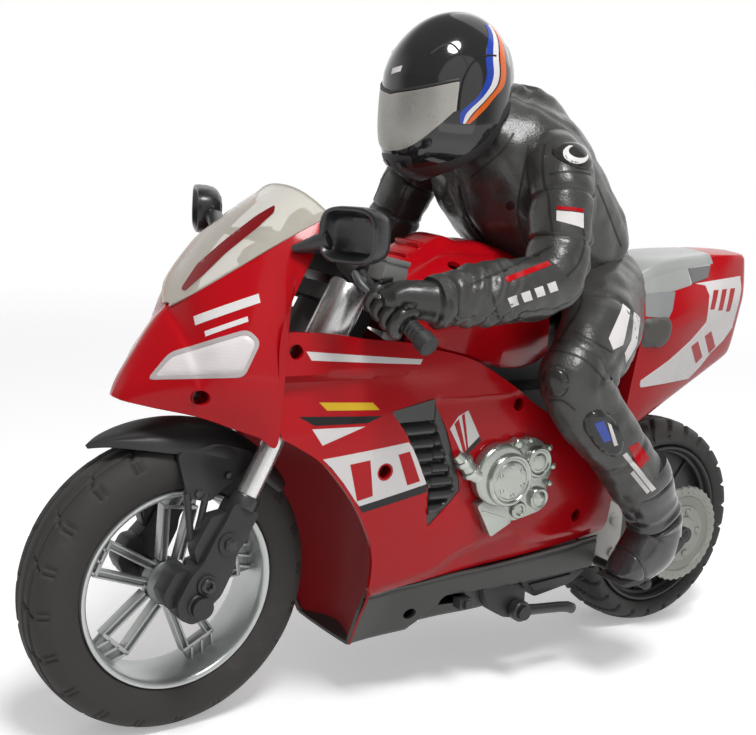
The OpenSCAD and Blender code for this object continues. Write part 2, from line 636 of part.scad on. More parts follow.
module side_stand() {
    color(grey) difference() {
        union() {
            rod([stand_p[0], stand_p[2]], stand_p[1] - 2.3, stand_p[1] + 2.3, 4.2);
            aim(stand_p, [-stand_len, 0, -2.6]) cylinder(r = 2.1, h = stand_len);
            aim(stand_p + [-stand_len + 2, 0, -2.4], [-1, 0, -0.6]) cylinder(r = 2.4, h = 4);
        }
        rod([stand_p[0], stand_p[2]], 0, 60, 1.5 + run_gap);
    }
}
module stand_screw() {
    color(pale) {
        rod([stand_p[0], stand_p[2]], 29, stand_p[1] + 2.6, 1.5 - fix_gap);
        rod([stand_p[0], stand_p[2]], stand_p[1] + 2.5, stand_p[1] + 4, 3);
    }
}
module tank_cover() {
    color(red) sheet([for (s = rev(tank)) tank_ring(s, 0)], [for (s = rev(tank)) tank_ring(s, wall)]);
}
module seat_pad() {
    st = [[-46, 16, 134, 140.6], [-56, 19, 132.4, 143], [-68, 19.6, 132.2, 144.7], [-82, 19.6, 132.4, 147], [-96, 19.6, 132.6, 150]];
    color(grey) loft([for (s = st) [for (k = [0 : 15]) let (a = k * 22.5, c = cos(a), d = sin(a))
        [s[0], s[1] * pow(abs(c), 0.5) * sign(c) * -1, (s[2] + s[3]) / 2 + (s[3] - s[2]) / 2 * pow(abs(d), 0.6) * sign(d)]]]);
}
module tail_cowl() {
    g = [for (s = tail) tail_ring(s, 0)];
    gi = [for (s = tail) tail_ring(s, wall)];
    color(red) {
        sheet(rev(g), rev(gi));
        plate([[-167.6, 127], [-167.6, 170], [-169, 172], [-169, 127]], -8.4, 8.4);
    }
}
module instrument_panel() {
    color(black) {
        plate([[52, dash_z], [84, dash_z + 2.2], [84, dash_z + 4.8], [52, dash_z + 2.4]], -21, 21);
        block([76, -26, dash_z + 1.6], [82, 26, dash_z + 3.6]);
        plate([[56, dash_z + 2.2], [66, dash_z + 3.2], [62, dash_z + 10.2], [57, dash_z + 9.2]], -13, 13);
    }
}
module bar_bracket() {
    color(black) difference() {
        union() {
            at_fork() block([-head_offset - 18, -24, bracket_z], [3, 24, bracket_z + 4]);
            at_fork() block([-4, -19, bracket_z + 3], [3, 19, bracket_z + 9]);
            for (m = [0, 1]) mirror([0, m, 0]) aim(bar_a - 0.16 * bar_dir, bar_dir) cylinder(r = bar_r + 2.2, h = 9);
        }
        for (m = [0, 1]) mirror([0, m, 0]) aim(bar_a - 0.16 * bar_dir, bar_dir)
            translate([0, 0, -1]) cylinder(r = bar_r + fix_gap, h = 60);
    }
}
module handlebar() {
    color(black) {
        aim(bar_a - 0.15 * bar_dir, bar_dir) cylinder(r = bar_r, h = 1.15 * bar_len);
        aim(bar_a + 0.3 * bar_dir, bar_dir) cylinder(r = grip_r, h = 0.7 * bar_len);
        aim(bar_b - 0.03 * bar_dir, bar_dir) cylinder(r = grip_r + 0.9, h = 5);
        aim(bar_a + 0.2 * bar_dir, bar_dir) cylinder(r = grip_r + 1.2, h = 5);
    }
    color(pale) {
        aim(lever_a, lever_dir) cylinder(r = 1.2, h = 30);
        aim(bar_a + 0.24 * bar_dir, lever_a + 0.05 * lever_dir - bar_a - 0.24 * bar_dir) cylinder(r = 1.5, h = 8.4);
        aim(bar_a + 0.26 * bar_dir, [-1, 1.5, 6]) cylinder(r = 1.6, h = 7);
        block([50.5, 36.5, bar_a[2] + 0.4], [58.5, 45.5, bar_a[2] + 7]);
    }
}
module mirror_pod() {
    color(black) {
        translate([76, 54, 188.4]) rotate([0, 0, 10]) {
            block([-4, -14, -5], [4, 14, 5]);
            block([-4, -11, -8], [4, 11, 8]);
            for (y = [-11, 11]) for (z = [-5, 5]) translate([-4, y, z]) rotate([0, 90, 0]) cylinder(r = 3, h = 8, $fn = 32);
        }
        aim([84.2, 30.2, 181.1], [-5.6, 13.4, 4.4]) cylinder(r = 2, h = 17.6);
    }
}
module footrest() {
    color(pale) {
        plate([[-66, 88], [-54, 88], [-60, 64], [-72, 42.6], [-80, 42.6], [-74, 66]], rest_y, rest_y + rest_t);
        rod([-60, 85], 25.05, rest_y + 0.8, 3);
        rod([-76, 44.6], rest_y + 0.8, 60, 2);
        plate([[-88, 44.8], [-66, 42.2], [-66, 44], [-88, 46.6]], 46, 62);
    }
}
module body_screws() {
    color(black) for (m = [0, 1]) mirror([0, m, 0]) {
        for (p = screw_spots) rod(p, side_y(p[0], p[1]) - 6, side_y(p[0], p[1]) - 0.9, screw_d / 2);
        rod(rear_screw, rest_y + rest_t + screw_gap, side_y(rear_screw[0], rear_screw[1]) - 0.9, screw_d / 2);
        rod([23.4, 37.5], 24, 30.6, screw_d / 2);
    }
}

// Rider figure
module hem_box(a, b, up) {
    translate([-62, 0, 172]) rotate([0, atan2(lean[0], lean[2]), 0])
        block([-120, a, up ? part_gap : -160], [120, b, up ? 160 : 0]);
}
torso_st = [[-77, 0, 156, 16.6, 26], [-66, 0, 167.5, 18, 29], [-55, 0, 180, 19, 31],
    [-43, 0, 194, 23, 35], [-31, 0, 208, 26, 40], [-23, 0, 219, 24, 41], [-16, 0, 229, 20, 32], [-13, 0, 234, 15, 20]];
module rider_torso() {
    color(black) difference() {
        intersection() {
            limb(torso_st, 20);
            block([-140, -38, 100], [100, 38, 290]);
        }
        for (m = [0, 1]) mirror([0, m, 0]) hem_box(20, 80, false);
        helm_solid(part_gap + 0.2);
        limb([[-86, 0, 146, 12, 14], [-66, 0, 167.5, 14.5, 15.5], [-57, 0, 178, 15, 25], [-43, 0, 194, 19, 30],
            [-34, 0, 205, 20, 33], [-29, 0, 211, 12, 22]], 16);
    }
    color(black) aim([-28, 0, 210], [16, 0, 16]) cylinder(r = 4.5, h = 23);
}
module rider_helmet() {
    color(black) difference() {
        helm_solid(0);
        loft([for (s = [[198, 4, 15, 13], [213, 2, 22, 18], [224, 0.5, 24.6, 21], [240, 0, 25, 21.6], [252, -1, 20, 18],
            [262, -2, 10, 9]]) [for (i = [0 : 15]) [s[1] + s[2] * cos(i * 22.5), s[3] * sin(i * 22.5), s[0]]]]);
        aim([-28, 0, 210], [16, 0, 16]) cylinder(r = 4.5 + fix_gap, h = 24);
    }
}
visor_st = [[221, 0.8, 27.2, 23.5], [228, 0.3, 27.8, 24.3], [236, 0, 28, 24.6], [243, -0.6, 27, 23.8], [248, -1, 26, 23]];
module rider_visor() {
    function row(s, g) = [for (k = [0 : 12]) let (a = lerp(-72, 72, k / 12)) [s[1] + (s[2] + g) * cos(a), (s[3] + g) * sin(a), s[0]]];
    color(pale) sheet([for (s = visor_st) row(s, 1.5)], [for (s = visor_st) row(s, part_gap)]);
}
arm_st = [[-34, 26, 224, 15, 13], [-29, 37, 219, 17, 15], [-25, 45, 209, 15.5, 13.5], [-21, 50, 196, 13.5, 12.5],
    [-17, 54, 182, 13, 12], [-9, 56, 170, 14, 12], [6, 57, 167.5, 13, 11.5], [22, 57, 167, 12, 11],
    [36, 56, 166, 10, 9.6], [42, 55.5, 165, 9.4, 9]];
module rider_arm() {
    color(black) intersection() {
        difference() {
            limb(arm_st, 16);
            limb([for (i = [0 : len(arm_st) - 3]) let (a = arm_st[i]) [a[0], a[1], a[2], a[3] - 3, a[4] - 3]], 12);
        }
        block([-100, 38 + 0.1, 100], [42.2, 90, 280]);
    }
}
module rider_glove() {
    color(black) difference() {
        union() {
            limb([[40, 55.8, 165.4, 9.2, 8.8], [46, 54.4, 164, 10, 9.4], [51, 53, 162, 9.4, 10.4], [57, 51.6, 159.6, 9, 11], [62, 50.6, 158, 6, 9]], 14);
        }
        aim(bar_a - bar_dir, bar_dir) cylinder(r = grip_r + 0.2, h = 140);
        aim(lever_a - lever_dir, lever_dir) cylinder(r = 1.5, h = 90);
        block([20, 20, 120], [42.4, 90, 200]);
    }
}
leg_st = [[-76, 18, 161, 17, 17], [-66, 28, 157, 18, 16], [-52, 42, 150, 18, 15.5], [-38, 51.5, 142, 16.5, 13],
    [-29, 55, 133, 14.5, 12.5], [-36, 56, 121, 14, 12.6], [-50, 56.4, 107, 13, 12.4], [-63, 56.4, 94, 12, 11.6], [-72, 56, 84, 11, 10.6]];
module rider_leg() {
    color(black) {
        intersection() {
            difference() {
                limb(leg_st, 16);
                limb([for (i = [0 : len(leg_st) - 3]) let (a = leg_st[i]) [a[0], a[1], a[2], a[3] - 3, a[4] - 3]], 12);
            }
            hem_box(20.1, 100, false);
        }
        limb([[-101, 54.5, 71, 6, 6], [-97, 54.5, 69, 10.5, 9], [-86, 54.6, 64.6, 12.5, 10], [-75, 55, 58.4, 10, 10.4], [-66, 55.5, 53.2, 7, 10], [-60, 55.6, 50, 3.4, 6]], 14);
        limb([[-70, 56, 88, 12, 11.4], [-78, 55.6, 78, 11.6, 10.6], [-86, 55, 67, 11, 9.6]], 14);
    }
}

// Everything drawn, with the middle of the model over the origin
module placed() {
    translate([shift, 0, 0]) children();
}
placed() main_frame();
placed() steering_stem();
placed() top_yoke();
placed() fork_tube(1);  // fork_tube_left
placed() fork_tube(-1);  // fork_tube_right
placed() fork_lower(1);  // fork_lower_left
placed() fork_lower(-1);  // fork_lower_right
placed() front_fender();
placed() front_axle();
placed() front_rim();
placed() front_tyre();
placed() rear_axle();
placed() rear_rim();
placed() rear_tyre();
placed() rear_sprocket();
placed() hub_gear();
placed() idler_gear();
placed() motor_pinion();
placed() gearbox_cover();
placed() drive_motor();
placed() flywheel();
placed() flywheel_motor();
placed() battery_pack();
placed() control_board();
placed() steering_servo();
placed() front_cowl();
placed() windshield();
placed() headlight();  // headlight_left
placed() mirror([0, 1, 0]) headlight();  // headlight_right
placed() side_fairing();  // side_fairing_left
placed() mirror([0, 1, 0]) side_fairing();  // side_fairing_right
placed() vent();  // vent_left
placed() mirror([0, 1, 0]) vent();  // vent_right
placed() engine_cover();  // engine_cover_left
placed() mirror([0, 1, 0]) engine_cover();  // engine_cover_right
placed() belly_pan();
placed() power_switch();
placed() side_stand();
placed() stand_screw();
placed() tank_cover();
placed() seat_pad();
placed() tail_cowl();
placed() instrument_panel();
placed() bar_bracket();
placed() handlebar();  // handlebar_left
placed() mirror([0, 1, 0]) handlebar();  // handlebar_right
placed() mirror_pod();  // mirror_left
placed() mirror([0, 1, 0]) mirror_pod();  // mirror_right
placed() footrest();  // footrest_left
placed() mirror([0, 1, 0]) footrest();  // footrest_right
placed() body_screws();
placed() rider_torso();
placed() rider_helmet();
placed() rider_visor();
placed() rider_arm();  // rider_arm_left
placed() mirror([0, 1, 0]) rider_arm();  // rider_arm_right
placed() rider_glove();  // rider_glove_left
placed() mirror([0, 1, 0]) rider_glove();  // rider_glove_right
placed() rider_leg();  // rider_leg_left
placed() mirror([0, 1, 0]) rider_leg();  // rider_leg_right
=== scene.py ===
"""Looks of a toy sport motorcycle with its rider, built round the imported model."""

import math

import bmesh
import bpy
from mathutils import Matrix, Vector, noise
from mathutils.bvhtree import BVHTree
from mathutils.geometry import delaunay_2d_cdt


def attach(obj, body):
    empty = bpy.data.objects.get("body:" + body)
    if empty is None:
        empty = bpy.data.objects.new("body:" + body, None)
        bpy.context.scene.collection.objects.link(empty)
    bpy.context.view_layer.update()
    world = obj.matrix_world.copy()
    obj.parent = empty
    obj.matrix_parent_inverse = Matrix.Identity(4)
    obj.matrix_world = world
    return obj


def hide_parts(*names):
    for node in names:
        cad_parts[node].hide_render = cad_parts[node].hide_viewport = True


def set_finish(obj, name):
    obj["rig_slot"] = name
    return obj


bl_info = {
    "name": "Toy motorcycle with rider",
    "version": (1, 0, 0),
    "blender": (4, 5, 0),
    "location": "3D View > Sidebar > Motorcycle",
    "description": "Builds the visible pieces of a toy sport motorcycle and its rider",
    "category": "Object",
}

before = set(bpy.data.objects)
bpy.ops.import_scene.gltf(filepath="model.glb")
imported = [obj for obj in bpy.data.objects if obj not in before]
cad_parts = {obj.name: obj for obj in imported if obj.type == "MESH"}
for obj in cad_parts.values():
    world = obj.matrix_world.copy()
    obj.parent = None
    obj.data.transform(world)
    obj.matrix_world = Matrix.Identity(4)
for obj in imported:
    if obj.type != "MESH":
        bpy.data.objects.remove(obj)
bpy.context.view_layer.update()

# Drawing millimetres become metres; the drawing's zero lies SHIFT ahead of the frame's
MM = 0.001
SHIFT = 5.25
UP = Vector((0, 0, 1))
OUT = Vector((0, 1, 0))
FRONT_AXLE = (114.0, 0.0, 55.0)
REAR_AXLE = (-131.0, 0.0, 48.5)
RAKE = math.radians(27.5)
LEG_OUT = 23

# Rays that lay a panel on a skin, and how far its triangles may stretch there
RAY_START = 200
RAY_REACH = 60
MAX_STRETCH = 4.5


# Settings

class MotoPaint(bpy.types.PropertyGroup):
    """Colours that a user would change."""

    red: bpy.props.FloatVectorProperty(
        name="Body red", description="Lacquer of the fairing, tank and tail",
        subtype="COLOR", size=3, min=0, max=1, default=(0.47, 0.003, 0.008))
    white: bpy.props.FloatVectorProperty(
        name="Panel white", description="Vinyl panels on the fairing and tail",
        subtype="COLOR", size=3, min=0, max=1, default=(0.78, 0.75, 0.74))
    suit: bpy.props.FloatVectorProperty(
        name="Suit", description="Leather of the rider's suit",
        subtype="COLOR", size=3, min=0, max=1, default=(0.044, 0.043, 0.04))
    trim: bpy.props.FloatVectorProperty(
        name="Dark trim", description="Fender, vents, mirrors and cockpit",
        subtype="COLOR", size=3, min=0, max=1, default=(0.024, 0.023, 0.023))
    rubber: bpy.props.FloatVectorProperty(
        name="Rubber", description="Tyres",
        subtype="COLOR", size=3, min=0, max=1, default=(0.036, 0.033, 0.031))
    screen: bpy.props.FloatVectorProperty(
        name="Screen tint", description="Tint of the windshield",
        subtype="COLOR", size=3, min=0, max=1, default=(0.7, 0.66, 0.57))


class MotoSizes(bpy.types.PropertyGroup):
    """Sizes that a user would change, in millimetres."""

    wall: bpy.props.FloatProperty(
        name="Shell wall", description="Thickness of the moulded shells", default=1.6, min=0.6, max=3)
    hole: bpy.props.FloatProperty(
        name="Screw hole", description="Radius of the screw holes in the shells", default=2.6, min=1, max=4)
    spokes: bpy.props.IntProperty(
        name="Front spokes", description="Pairs of spokes in the front wheel", default=5, min=3, max=9)
    decal: bpy.props.FloatProperty(
        name="Decal height", description="How far a vinyl panel stands proud", default=0.12, min=0.05,
        max=0.4)


class MotoStage(bpy.types.PropertyGroup):
    """Camera and light."""

    lens: bpy.props.FloatProperty(
        name="Lens", description="Focal length", default=62.85, min=20, max=200, unit="CAMERA")
    key: bpy.props.FloatProperty(
        name="Key light", description="Power of the main soft box", default=11.5, min=0, unit="POWER")
    room: bpy.props.FloatProperty(
        name="Room light", description="Even light from all round", default=0.3, min=0, max=1)
    fill: bpy.props.FloatProperty(
        name="Fill light", description="Power of the side soft box", default=3.0, min=0, unit="POWER")


# Numbers and curves

def smooth(lo, hi, x):
    """Soft step from 0 at lo to 1 at hi."""
    t = min(1.0, max(0.0, (x - lo) / (hi - lo)))
    return t * t * (3 - 2 * t)


def hump(x, mid, width):
    """Bell of height 1."""
    return math.exp(-((x - mid) / width) ** 2)


def look(rows, x):
    """Smooth lookup in rows of (x, value, ...), sorted by x."""
    last = len(rows) - 1
    x = min(max(x, rows[0][0]), rows[last][0])
    i = 0
    while i < last - 1 and x > rows[i + 1][0]:
        i += 1
    a, b = rows[i], rows[i + 1]
    p, q = rows[max(i - 1, 0)], rows[min(i + 2, last)]
    h = b[0] - a[0]
    t = (x - a[0]) / h
    out = []
    for k in range(1, len(a)):
        m0 = h * (b[k] - p[k]) / (b[0] - p[0])
        m1 = h * (q[k] - a[k]) / (q[0] - a[0])
        out.append((2 * t ** 3 - 3 * t * t + 1) * a[k] + (t ** 3 - 2 * t * t + t) * m0
                   + (3 * t * t - 2 * t ** 3) * b[k] + (t ** 3 - t * t) * m1)
    return out


def along(points, t):
    """Point at t, in steps of one point, on a smooth line through points of any size."""
    n = len(points) - 1
    t = min(max(t, 0.0), float(n))
    i = min(int(t), n - 1)
    f = t - i
    p, a, b, q = points[max(i - 1, 0)], points[i], points[i + 1], points[min(i + 2, n)]
    return [0.5 * (2 * y + (z - x) * f + (2 * x - 5 * y + 4 * z - w) * f * f
                   + (3 * y - x - 3 * z + w) * f ** 3) for x, y, z, w in zip(p, a, b, q)]


def trail(points, count):
    """count + 1 points on a smooth line through points."""
    n = len(points) - 1
    return [along(points, n * k / count) for k in range(count + 1)]


def soft(outline, radius, parts=4):
    """An outline with its corners rounded."""
    out = []
    n = len(outline)
    for i in range(n):
        a, b, c = (Vector(outline[k % n]) for k in (i - 1, i, i + 1))
        ra = min(radius, (a - b).length * 0.45)
        rc = min(radius, (c - b).length * 0.45)
        s, e = b + (a - b).normalized() * ra, b + (c - b).normalized() * rc
        for k in range(parts + 1):
            t = k / parts
            out.append(tuple(s * (1 - t) ** 2 + b * 2 * t * (1 - t) + e * t * t))
    return out


def inside(outline, p):
    """Whether a flat point lies in an outline."""
    hit = False
    j = len(outline) - 1
    for i, a in enumerate(outline):
        b = outline[j]
        if (a[1] > p[1]) != (b[1] > p[1]) and p[0] < (b[0] - a[0]) * (p[1] - a[1]) / (b[1] - a[1]) + a[0]:
            hit = not hit
        j = i
    return hit


def edge_gap(outline, p):
    """Distance from a flat point to an outline."""
    best = 1e9
    px, py = p[0], p[1]
    j = len(outline) - 1
    for i, a in enumerate(outline):
        b = outline[j]
        dx, dy = b[0] - a[0], b[1] - a[1]
        t = min(1.0, max(0.0, ((px - a[0]) * dx + (py - a[1]) * dy) / max(dx * dx + dy * dy, 1e-9)))
        d = (px - a[0] - t * dx) ** 2 + (py - a[1] - t * dy) ** 2
        if d < best:
            best = d
        j = i
    return math.sqrt(best)


# Meshes, as (points, faces) in drawing millimetres

def grid(rows, ring=False, caps=False, loop=False):
    """Net over rows of points. ring shuts each row, loop joins last row to first, caps fill the ends."""
    n = len(rows[0])
    m = len(rows)
    pts = [tuple(p) for row in rows for p in row]
    faces = []
    for j in range(m if loop else m - 1):
        j2 = (j + 1) % m
        for i in range(n if ring else n - 1):
            k = (i + 1) % n
            faces.append((j * n + i, j * n + k, j2 * n + k, j2 * n + i))
    if caps:
        for base in (0, (m - 1) * n):
            c = len(pts)
            pts.append(tuple(sum((Vector(pts[base + i]) for i in range(n)), Vector()) / n))
            for i in range(n):
                faces.append((base + i, base + (i + 1) % n, c))
    return pts, faces


def join(*parts):
    """Several meshes as one."""
    pts, faces = [], []
    for p, f in parts:
        o = len(pts)
        pts += list(p)
        faces += [tuple(i + o for i in face) for face in f]
    return pts, faces


def thick(geo, offset):
    """Closes an open sheet: offset gives the step from a point to its inner twin."""
    pts, faces = geo
    n = len(pts)
    inner = [tuple(Vector(p) + Vector(offset(p) if callable(offset) else offset)) for p in pts]
    count = {}
    for f in faces:
        for a, b in zip(f, f[1:] + f[:1]):
            key = (min(a, b), max(a, b))
            count[key] = count.get(key, 0) + 1
    walls = [(a, b, b + n, a + n) for (a, b), c in count.items() if c == 1]
    return list(pts) + inner, list(faces) + [tuple(i + n for i in f[::-1]) for f in faces] + walls


def fill(outline, gap, holes=()):
    """Flat triangles inside an outline, outside its holes, with a net of points gap apart."""
    pts, edges = [], []
    for loop in (outline,) + tuple(holes):
        first = len(pts)
        for a, b in zip(loop, tuple(loop[1:]) + (loop[0],)):
            a, b = Vector(a), Vector(b)
            n = max(1, int((b - a).length / gap + 0.5))
            pts += [a.lerp(b, k / n) for k in range(n)]
        edges += [(i, i + 1) for i in range(first, len(pts) - 1)] + [(len(pts) - 1, first)]
    lo = [min(p[k] for p in outline) for k in (0, 1)]
    hi = [max(p[k] for p in outline) for k in (0, 1)]
    j = 0
    y = lo[1] + gap * 0.5
    while y < hi[1]:
        x = lo[0] + gap * (0.25 if j % 2 else 0.75)
        while x < hi[0]:
            p = (x, y)
            if inside(outline, p) and not any(inside(h, p) for h in holes):
                if min(edge_gap(loop, p) for loop in (outline,) + tuple(holes)) > gap * 0.55:
                    pts.append(Vector(p))
            x += gap
        y += gap * 0.87
        j += 1
    out = delaunay_2d_cdt([Vector(p) for p in pts], edges, [], 0, 1e-4)
    tris = []
    for f in out[2]:
        c = (out[0][f[0]] + out[0][f[1]] + out[0][f[2]]) / 3
        if inside(outline, c) and not any(inside(h, c) for h in holes):
            tris.append(tuple(f))
    return [tuple(p) for p in out[0]], tris


def tube(path, radius, n=14, flat=1.0):
    """A round bar along points; radius is a number or a list; flat squeezes it."""
    rows = []
    side = None
    for k, p in enumerate(path):
        p = Vector(p)
        t = (Vector(path[min(k + 1, len(path) - 1)]) - Vector(path[max(k - 1, 0)])).normalized()
        if side is None:
            side = t.orthogonal().normalized()
        side = (side - t * side.dot(t)).normalized()
        other = t.cross(side)
        r = radius[k] if isinstance(radius, (list, tuple)) else radius
        rows.append([p + (side * math.cos(a) + other * math.sin(a) * flat) * r
                     for a in (2 * math.pi * i / n for i in range(n))])
    return grid(rows, ring=True, caps=True)


def turned(profile, centre, n=64, closed=False, wave=None):
    """A profile of (y, r) turned about a cross axis through centre."""
    rows = []
    for j in range(n):
        a = 2 * math.pi * j / n
        rows.append([(centre[0] + r * math.cos(a), centre[1] + y, centre[2] + r * math.sin(a))
                     for y, r in (wave(a, profile) if wave else profile)])
    return grid(rows, ring=closed, loop=True)


def mirrored(half):
    """A section of (y, r), given from its outer edge to the middle, with its mirror image."""
    return half + [(-y, r) for y, r in reversed(half) if y]


def circle(x, z, r, n=14):
    """Points of a flat circle."""
    turns = [2 * math.pi * k / n for k in range(n)]
    return [(x + r * math.cos(a), z + r * math.sin(a)) for a in turns]


def slab(outline, y0, y1):
    """A flat outline in x and z, from y0 to y1."""
    n = len(outline)
    pts = [(p[0], y0, p[1]) for p in outline] + [(p[0], y1, p[1]) for p in outline]
    faces = [tuple(range(n)), tuple(range(2 * n - 1, n - 1, -1))]
    faces += [(i, (i + 1) % n, n + (i + 1) % n, n + i) for i in range(n)]
    return pts, faces


def brick(lo, hi):
    """A box between two corners."""
    return slab([(lo[0], lo[2]), (hi[0], lo[2]), (hi[0], hi[2]), (lo[0], hi[2])], lo[1], hi[1])


def hexagon(x, z, r, y0, y1, turn=0.2):
    """A hexagonal bolt head on a side face."""
    return slab([(x + r * math.cos(turn + k * math.pi / 3), z + r * math.sin(turn + k * math.pi / 3))
                 for k in range(6)], y0, y1)


def disc(x, z, r, y0, y1, n=28):
    """A round boss on a side face."""
    return slab(circle(x, z, r, n), y0, y1)


def at_fork(p):
    """From the fork's own frame to the drawing."""
    c, s = math.cos(RAKE), math.sin(RAKE)
    return (FRONT_AXLE[0] + p[0] * c - p[2] * s, p[1], FRONT_AXLE[2] + p[0] * s + p[2] * c)


def forked(geo):
    """A mesh in the fork's own frame, put in place."""
    return [at_fork(p) for p in geo[0]], geo[1]


def about_leg(stations, n):
    """Rings of (height, radius) about the line of a fork leg."""
    turns = [2 * math.pi * i / n for i in range(n)]
    rows = []
    for z, r in stations:
        rows.append([at_fork((r * math.cos(a), LEG_OUT + r * math.sin(a), z)) for a in turns])
    return grid(rows, ring=True)


def limb(stations, rows_along, around, power=2.25, push=None):
    """Rings along stations of (x, y, z, half depth, half width); push moves points out."""
    n = len(stations) - 1
    rows = []
    for j in range(rows_along + 1):
        t = n * j / rows_along
        c = along(stations, t)
        tangent = Vector(along(stations, t + 0.06)[:3]) - Vector(along(stations, t - 0.06)[:3])
        tangent.normalize()
        wide = (OUT - tangent * OUT.dot(tangent)).normalized()
        deep = wide.cross(tangent)
        row = []
        for i in range(around):
            a = 2 * math.pi * i / around
            ca, sa = math.cos(a), math.sin(a)
            k = (abs(ca) ** power + abs(sa) ** power) ** (-1 / power)
            d = deep * (ca * k * c[3]) + wide * (sa * k * c[4])
            p = Vector(c[:3]) + d
            if push:
                p += d.normalized() * push(t, a, p)
            row.append(p)
        rows.append(row)
    return rows


def facing(x, y, z):
    """Drawing plane seen along a direction: its origin, right, up and out."""
    out = Vector((x, y, z)).normalized()
    right = UP.cross(out).normalized()
    return Vector(), right, out.cross(right), out


# Planes that the marks on the body and the rider are drawn on
QUARTER = facing(0.575, 0.8, 0.17)
LAMP_VIEW = facing(0.62, 0.76, 0.15)


def weld(geo, gap=0.01):
    """A mesh whose points that fall together are one."""
    index, pts, new = {}, [], []
    for p in geo[0]:
        key = tuple(round(c / gap) for c in p)
        if key not in index:
            index[key] = len(pts)
            pts.append(tuple(p))
        new.append(index[key])
    faces = []
    for f in geo[1]:
        f = tuple(dict.fromkeys(new[i] for i in f))
        if len(f) > 2:
            faces.append(f)
    return pts, faces


def ribbon(points, width):
    """Outline of a strip along flat points."""
    line = trail(points, 5 * (len(points) - 1))
    left, right = [], []
    for k, p in enumerate(line):
        d = (Vector(line[min(k + 1, len(line) - 1)]) - Vector(line[max(k - 1, 0)])).normalized() * width * 0.5
        left.append((p[0] - d[1], p[1] + d[0]))
        right.append((p[0] + d[1], p[1] - d[0]))
    return left + right[::-1]


class Skin:
    """A surface that patches are laid on."""

    def __init__(self, *parts):
        pts, faces = join(*parts)
        self.tree = BVHTree.FromPolygons([Vector(p) for p in pts], faces)

    def drop(self, start, way):
        """Point and outward normal where a ray first meets the surface."""
        way = Vector(way).normalized()
        spot, normal, _, _ = self.tree.ray_cast(Vector(start), way)
        if spot is None:
            spot, normal, _, _ = self.tree.find_nearest(Vector(start) + way * RAY_REACH)
        if normal.dot(way) > 0:
            normal = -normal
        return spot, normal


def patch(skin, outline, gap=1.2, lift=0.12, dome=0.0, rim=1.5, depth=0.5, base=None, holes=()):
    """A thin panel laid on a skin. base is (origin, right, up, out); without it the outline is in x and z."""
    o, right, up, out = base or (Vector(), Vector((1, 0, 0)), UP, OUT)
    flat, tris = fill(outline, gap, holes)
    top, low = [], []
    for p in flat:
        start = o + right * p[0] + up * p[1] + out * RAY_START
        spot, normal = skin.drop(start, -out)
        h = lift
        if dome:
            t = 1 - min(1.0, edge_gap(outline, p) / rim)
            h += dome * math.sqrt(max(0.0, 1 - t * t))
        top.append(tuple(spot + normal * h))
        low.append(tuple(spot - normal * depth))

    def near(a, b):
        span = (Vector(top[a]) - Vector(top[b])).length
        return span < MAX_STRETCH * max(gap, math.dist(flat[a], flat[b]))

    tris = [t for t in tris if all(near(a, b) for a, b in zip(t, (*t[1:], t[0])))]
    sheet = thick((top, tris), (0, 0, 0))
    return top + low, sheet[1]


# Shader maths

class Value:
    """A shader socket whose arithmetic adds Math nodes."""

    def __init__(self, owner, socket):
        self.owner = owner
        self.socket = socket

    def maths(self, operation, a, b):
        return self.owner.node("ShaderNodeMath", {"operation": operation}, {0: a, 1: b})

    def __add__(self, other):
        return self.maths("ADD", self, other)

    def __radd__(self, other):
        return self.maths("ADD", other, self)

    def __sub__(self, other):
        return self.maths("SUBTRACT", self, other)

    def __rsub__(self, other):
        return self.maths("SUBTRACT", other, self)

    def __mul__(self, other):
        return self.maths("MULTIPLY", self, other)

    def __rmul__(self, other):
        return self.maths("MULTIPLY", other, self)

    def between(self, lo, hi):
        """Soft step from 0 at lo to 1 at hi."""
        return self.owner.node("ShaderNodeMapRange", {"interpolation_type": "SMOOTHSTEP"},
                               {"Value": self, "From Min": lo, "From Max": hi})


